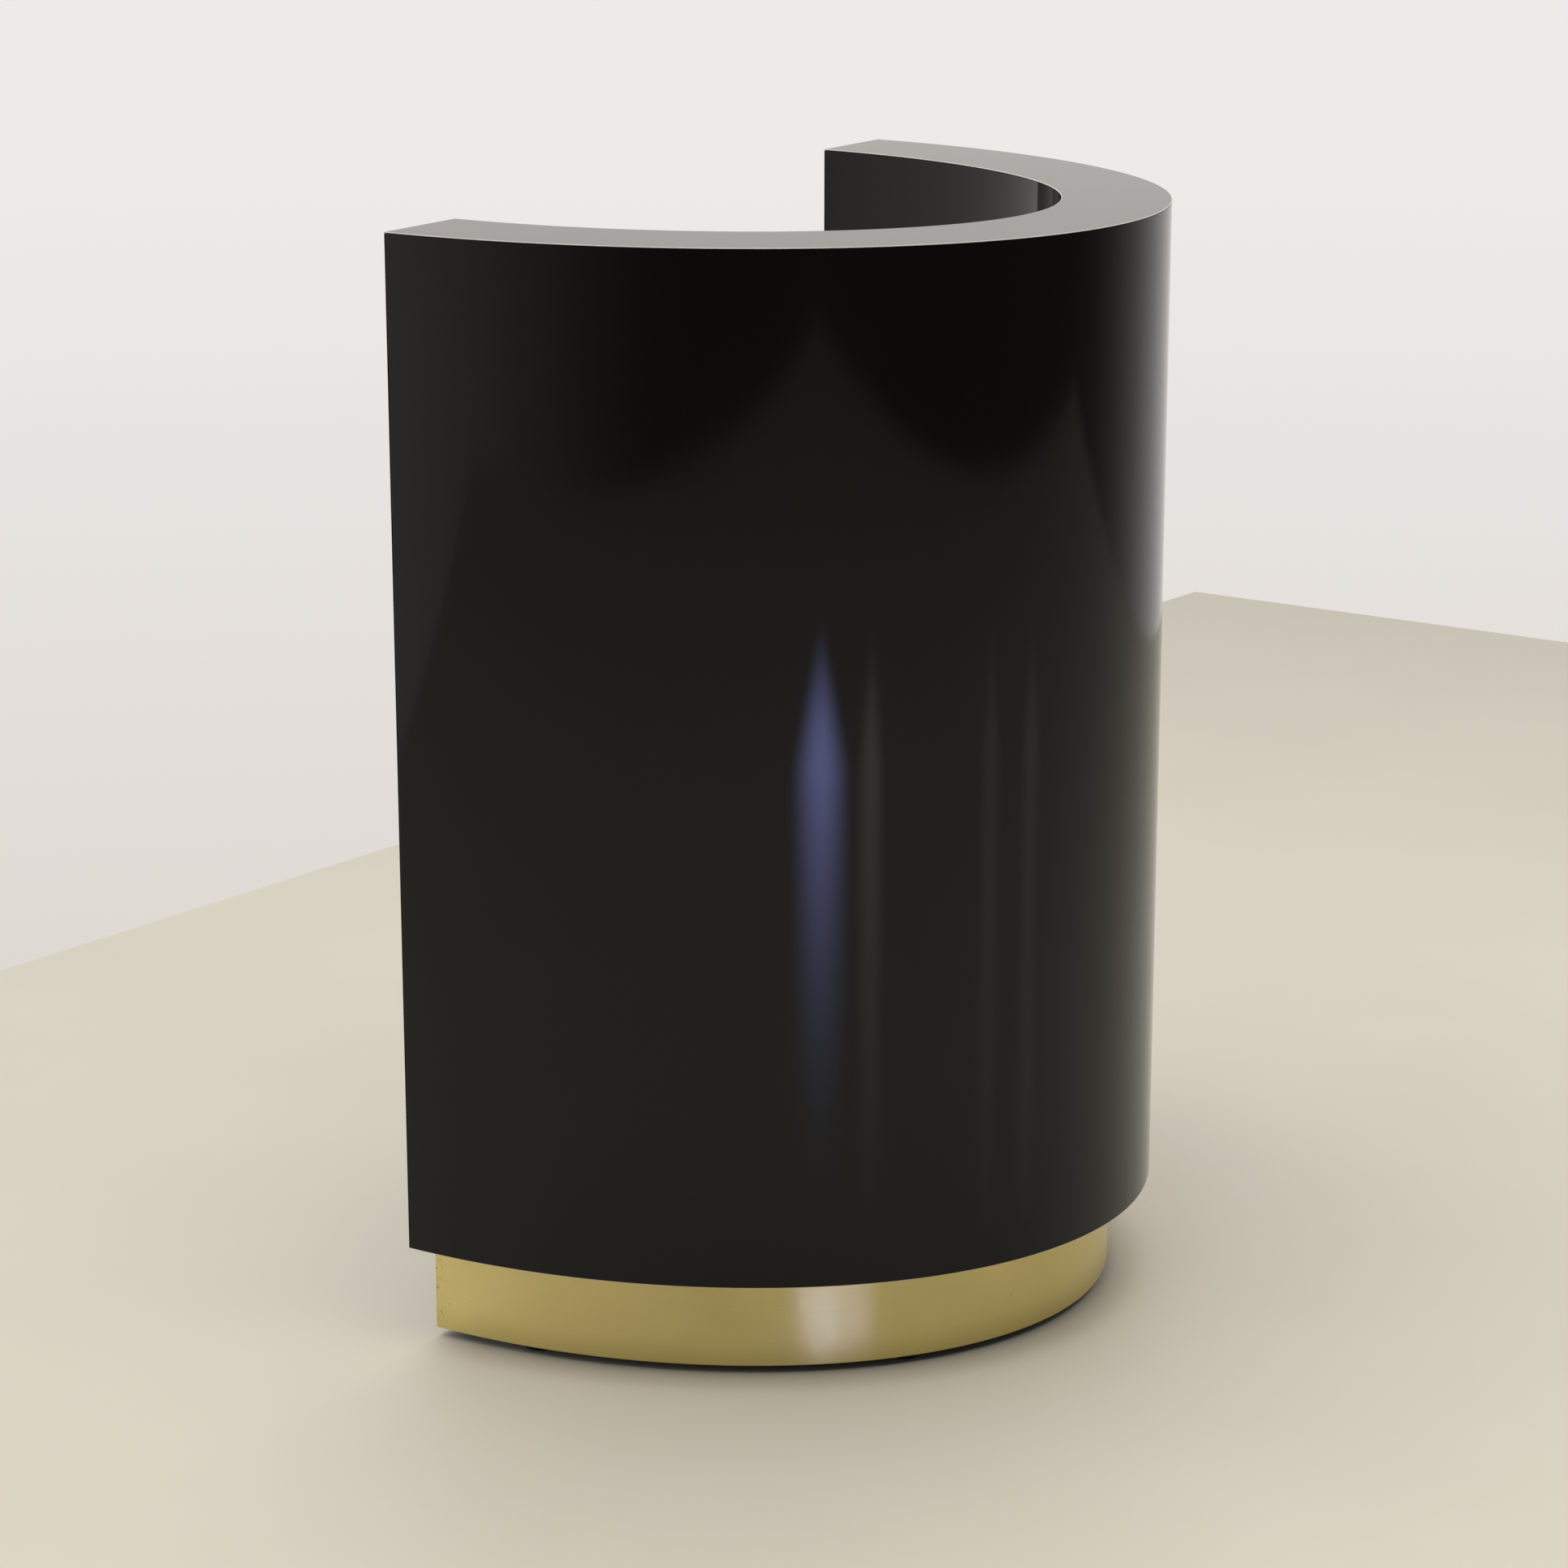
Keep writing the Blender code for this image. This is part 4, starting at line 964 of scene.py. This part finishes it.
def bend(edges, centre):
    """Carries a rod's end loop round a quarter turn about an upright axis."""
    spun = bmesh.ops.spin(
        rod, geom=edges, cent=centre, axis=(0, 0, 1), angle=-math.pi / 2, steps=10, use_merge=False
    )["geom_last"]
    return [item for item in spun if isinstance(item, bmesh.types.BMEdge)]


tip = bend(tip, (PULL_CORNER - span, reach - PULL_CORNER, pull_z))
tip = grow(rod, tip, (2 * (span - PULL_CORNER), 0, 0))
tip = bend(tip, (span - PULL_CORNER, reach - PULL_CORNER, pull_z))
tip = grow(rod, tip, (0, -leg, 0))
bmesh.ops.contextual_create(rod, geom=tip)
bmesh.ops.contextual_create(rod, geom=[edge for edge in rod.edges if edge.is_boundary])
bmesh.ops.remove_doubles(rod, verts=rod.verts, dist=0.000001)
bmesh.ops.recalc_face_normals(rod, faces=rod.faces)
keep("bar_pull", rod, nickel, "drawer", "nickel_plated_brass", "drawer_pull", sharp=40)

# ---------------------------------------------------------------------------------------------
# The slides. Roll-formed zinc-plated steel, three members to a side, which nest and run on balls
# in their races. The outer is screwed to the partition and the inner riveted to the tray.

BEND_RADIUS = 0.0014
for side, outwards in SIDES:
    for member, body in (("outer", "counter"), ("middle", "slide_middle"), ("inner", "drawer")):
        node = f"slide_{member}_{side}"
        low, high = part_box(node)
        web, lips = (high.x, low.x) if outwards > 0 else (low.x, high.x)
        if member == "inner":
            web, lips = lips, web
        channel = bmesh.new()
        points = [channel.verts.new((x, low.y, z)) for x, z in
                  ((lips, low.z), (web, low.z), (web, high.z), (lips, high.z))]
        section = [channel.edges.new(pair) for pair in zip(points, points[1:])]
        grow(channel, section, (0, high.y - low.y, 0))
        middle = Vector(((web + lips) / 2, 0, (low.z + high.z) / 2))
        channel.normal_update()
        for face in channel.faces:
            outside = face.calc_center_median() - middle
            outside.y = 0
            if face.normal.dot(outside) < 0:
                face.normal_flip()
        ease(channel, BEND_RADIUS, segments=4, steeper_than=80)
        bmesh.ops.solidify(channel, geom=channel.faces[:], thickness=STEEL)
        keep(f"roll_formed_{member}_{side}", channel, zinc, body, "zinc_plated_steel", node, sharp=30)


def together(shapes):
    """Puts several shapes in one bmesh, unjoined, to be kept as one piece."""
    whole = bmesh.new()
    for shape in shapes:
        mesh = bpy.data.meshes.new("part")
        shape.to_mesh(mesh)
        shape.free()
        whole.from_mesh(mesh)
        bpy.data.meshes.remove(mesh)
    return whole


# Bearing balls in the gaps between the members' lips, in four races on each side
BALL_RADIUS = 0.0007
BALLS = 12
outer_low, outer_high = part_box("slide_outer_right")
middle_low, middle_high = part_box("slide_middle_right")
inner_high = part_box("slide_inner_right")[1]
slide_z = (outer_low.z + outer_high.z) / 2
for side, outwards in SIDES:
    balls = bmesh.new()
    for outside, inside, x in (
        (outer_high.z - STEEL, middle_high.z, (outer_low.x + middle_high.x) / 2),
        (middle_high.z - STEEL, inner_high.z, (middle_low.x + inner_high.x) / 2),
    ):
        above = (outside + inside) / 2 - slide_z
        for rise in (above, -above):
            for k in range(BALLS):
                y = outer_low.y + (outer_high.y - outer_low.y) * (k + 0.5) / BALLS
                spot = Vector((x * outwards, y, slide_z + rise))
                bmesh.ops.create_icosphere(
                    balls, subdivisions=2, radius=BALL_RADIUS, matrix=Matrix.Translation(spot)
                )
    keep(f"slide_balls_{side}", balls, zinc, "slide_middle", "zinc_plated_steel", sharp=80)


def screw_head(place, axis, radius, height):
    """A domed head with a cross recess, its underside at a place, facing along an axis."""
    dome = ((radius, 0), (radius, height * 0.35), (radius * 0.86, height * 0.75), (radius * 0.62, height))
    head = turned(dome, (0, 0, 0), steps=24)
    rims = [edge for edge in head.edges if edge.is_boundary]
    lower = [edge for edge in rims if edge.verts[0].co.z < height / 2]
    upper = [edge for edge in rims if edge.verts[0].co.z > height / 2]
    slot, arm = radius * 0.12, radius * 0.48
    quarter = ((arm, -slot), (arm, slot), (slot, slot))
    quarter_turns = [Matrix.Rotation(k * math.pi / 2, 3, "Z") for k in range(4)]
    recess = outline(head, [turn @ Vector((x, y, height)) for turn in quarter_turns for x, y in quarter])
    bmesh.ops.triangle_fill(head, edges=upper + recess, use_beauty=True, normal=(0, 0, 1))
    bmesh.ops.contextual_create(head, geom=grow(head, recess, (0, 0, -height * 0.7)))
    bmesh.ops.contextual_create(head, geom=lower)
    bmesh.ops.recalc_face_normals(head, faces=head.faces)
    set_down(head, place, axis)
    return head


# Screws through the outer members into the partitions, and rivets from the tray to the inner members
FASTENERS_ALONG = (0.12, 0.5, 0.88)  # as shares of a slide's length
slide_screws = []
rivets = []
for outwards in (-1, 1):
    for share in FASTENERS_ALONG:
        y = outer_low.y + (outer_high.y - outer_low.y) * share
        web_face = (outer_high.x - STEEL) * outwards
        slide_screws.append(screw_head((web_face, y, slide_z), (-outwards, 0, 0), 0.0030, 0.0013))
        wall_face = (tray_high.x - STEEL) * outwards
        rivets.append(turned(
            ((0, 0.0006), (0.0009, 0.0006), (0.0011, 0.0010), (0.0020, 0.0009), (0.0028, 0.0003), (0.0029, 0),
             (0, 0)), (wall_face, y, slide_z), (-outwards, 0, 0), steps=20,
        ))
keep("slide_screws", together(slide_screws), zinc, "counter", "zinc_plated_steel", sharp=35)
keep("tray_rivets", together(rivets), zinc, "drawer", "zinc_plated_steel", sharp=35)

# Through the tray's front wall: the pull's own two bolts, and two screws into the drawer front
FRONT_SCREW_X = 0.140
FRONT_SCREW_RISE = 0.016
front_screws = []
for x, z in (
    (-span, pull_z), (span, pull_z),
    (-FRONT_SCREW_X, slide_z + FRONT_SCREW_RISE), (FRONT_SCREW_X, slide_z + FRONT_SCREW_RISE),
):
    front_screws.append(screw_head((x, tray_high.y - STEEL, z), (0, -1, 0), 0.0038, 0.0022))
keep("drawer_front_screws", together(front_screws), zinc, "drawer", "zinc_plated_steel", sharp=35)

# ---------------------------------------------------------------------------------------------
# The cam lock. A die-cast housing through the drawer front, held by a nut from behind; a brass plug
# that turns in it, with a flat steel cam screwed to its end; and a flat key in its keyway.

PLUG_BORE = 0.0059
BARREL = 0.008
flange = (lock_high.x - lock_low.x) / 2
flange_back = front_high.y + GAP
housing = turned(
    (
        (PLUG_BORE, lock_low.y), (BARREL, lock_low.y), (BARREL, flange_back),
        (flange - 0.0002, flange_back), (flange, flange_back + 0.0002), (flange, flange_back + 0.0006),
        (flange - 0.0007, flange_back + 0.0013), (flange - 0.0018, lock_high.y),
        (PLUG_BORE + 0.0005, lock_high.y), (PLUG_BORE, lock_high.y - 0.0005),
    ),
    (0, 0, lock_z), (0, 1, 0), steps=72, closed=True,
)
keep("lock_case", housing, nickel, "drawer", "nickel_plated_brass", "lock_housing", sharp=35)

# The nut, 24 mm across its corners, clear of the housing's barrel all round
NUT_BORE = 0.0096
NUT_CORNER = 0.0122
NUT_CHAMFER = 0.0007
nut_back = lock_low.y + 2 * GAP
nut_front = front_low.y - GAP
nut = turned(
    (
        (NUT_BORE, nut_back), (NUT_CORNER - NUT_CHAMFER, nut_back), (NUT_CORNER, nut_back + 2 * GAP),
        (NUT_CORNER, nut_front - 2 * GAP), (NUT_CORNER - NUT_CHAMFER, nut_front), (NUT_BORE, nut_front),
    ),
    (0, 0, lock_z), (0, 1, 0), steps=6, closed=True,
)
keep("lock_nut", nut, zinc, "drawer", "zinc_plated_steel", sharp=20)


def drawn_plate(loops, thickness, along):
    """A flat plate from loops of points, the first its outline and the rest holes, given thickness."""
    shape = bmesh.new()
    for loop in loops:
        outline(shape, loop)
    bmesh.ops.triangle_fill(shape, edges=shape.edges[:], use_beauty=True, normal=along)
    grow(shape, shape.faces[:], Vector(along) * thickness)
    bmesh.ops.recalc_face_normals(shape, faces=shape.faces)
    return shape


def arc(centre, radius, start, end, steps):
    """Points on an arc, in degrees, as (across, up) pairs."""
    angles = [math.radians(start + (end - start) * k / steps) for k in range(steps + 1)]
    return [(centre[0] + radius * math.cos(a), centre[1] + radius * math.sin(a)) for a in angles]


def circle(centre, radius, steps):
    """Points all round a circle, as (across, up) pairs."""
    return arc(centre, radius, 0, 360, steps)[:-1]


# The plug: its face has a slot for the key, and its tail steps down to the cam's spigot
plug_low, plug_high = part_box("lock_plug")
key_low, key_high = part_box("lock_key")
cam_low, cam_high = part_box("lock_cam")
PLUG_RADIUS = (plug_high.x - plug_low.x) / 2
SPIGOT_RADIUS = 0.003
SLOT_HALF_WIDTH = (key_high.x - key_low.x) / 2 + GAP
SLOT_HALF_HEIGHT = 0.0036
SLOT_BEYOND_KEY = 0.0005
plug = bmesh.new()
rim = outline(plug, [(x, plug_high.y, z) for x, z in circle((0, lock_z), PLUG_RADIUS, 48)])
slot_rim = outline(plug, [
    (x * SLOT_HALF_WIDTH, plug_high.y, lock_z + z * SLOT_HALF_HEIGHT)
    for x, z in ((-1, -1), (1, -1), (1, 1), (-1, 1))
])
bmesh.ops.triangle_fill(plug, edges=plug.edges[:], use_beauty=True, normal=(0, 1, 0))
for depth, scale in (
    (lock_low.y - plug_high.y, 1), (0, SPIGOT_RADIUS / PLUG_RADIUS), (plug_low.y - lock_low.y, 1),
):
    rim = grow(plug, rim, (0, depth, 0))
    ring = list({corner for edge in rim for corner in edge.verts})
    bmesh.ops.scale(plug, verts=ring, vec=(scale, 1, scale), space=Matrix.Translation((0, 0, -lock_z)))
bmesh.ops.contextual_create(plug, geom=rim)
slot_floor = grow(plug, slot_rim, (0, key_low.y - plug_high.y - SLOT_BEYOND_KEY, 0))
bmesh.ops.contextual_create(plug, geom=slot_floor)
bmesh.ops.recalc_face_normals(plug, faces=plug.faces)
keep("lock_cylinder", plug, nickel, "lock", "nickel_plated_brass", "lock_plug", sharp=35)

CAM_HALF = (cam_high.z - cam_low.z) / 2
TIP_ROUND = 0.003
cam_points = arc((0, lock_z), CAM_HALF, -90, 90, 18)
cam_points += arc((cam_low.x + TIP_ROUND, cam_high.z - TIP_ROUND), TIP_ROUND, 90, 180, 6)
cam_points += arc((cam_low.x + TIP_ROUND, cam_low.z + TIP_ROUND), TIP_ROUND, 180, 270, 6)
cam_hole = circle((0, lock_z), SPIGOT_RADIUS + GAP, 24)
cam = drawn_plate(
    [[(x, cam_low.y, z) for x, z in loop] for loop in (cam_points, cam_hole)],
    cam_high.y - cam_low.y, (0, 1, 0),
)
ease(cam, 0.0003)
keep("steel_cam", cam, zinc, "lock", "zinc_plated_steel", "lock_cam", sharp=35)
cam_screw = screw_head((0, plug_low.y, lock_z), (0, -1, 0), 0.0042, 0.0018)
keep("cam_screw", cam_screw, zinc, "lock", "zinc_plated_steel", sharp=35)

# The key: a stamped blank with a round bow, a hole for its ring, and cuts along the blade
BLADE_HALF = 0.0032
CUT_PITCH = 0.0024
CUT_DEPTHS = (0.0008, 0.0014, 0.0010, 0.0016, 0.0006)  # from the bow to the tip
BOW_RADIUS = (key_high.z - key_low.z) / 2
bow_centre = key_high.y - BOW_RADIUS
neck = math.degrees(math.asin(BLADE_HALF / BOW_RADIUS))
key_points = arc((bow_centre, lock_z), BOW_RADIUS, neck - 180, 180 - neck, 40)
first_cut = bow_centre - BOW_RADIUS - 0.0035
for k, depth in enumerate(CUT_DEPTHS):
    start = first_cut - k * CUT_PITCH
    key_points += [(start, lock_z + BLADE_HALF), (start - 0.0008, lock_z + BLADE_HALF - depth),
                   (start - 0.0014, lock_z + BLADE_HALF - depth), (start - 0.0022, lock_z + BLADE_HALF)]
key_points += [
    (key_low.y, lock_z + 0.0008), (key_low.y, lock_z - 0.0012), (key_low.y + 0.002, lock_z - BLADE_HALF)
]
ring_hole = circle((bow_centre + 0.0035, lock_z), 0.0024, 24)
key = drawn_plate(
    [[(key_low.x, y, z) for y, z in loop] for loop in (key_points, ring_hole)],
    key_high.x - key_low.x, (1, 0, 0),
)
ease(key, 0.00025)
keep("flat_key", key, nickel, "lock", "nickel_plated_brass", "lock_key", sharp=35)
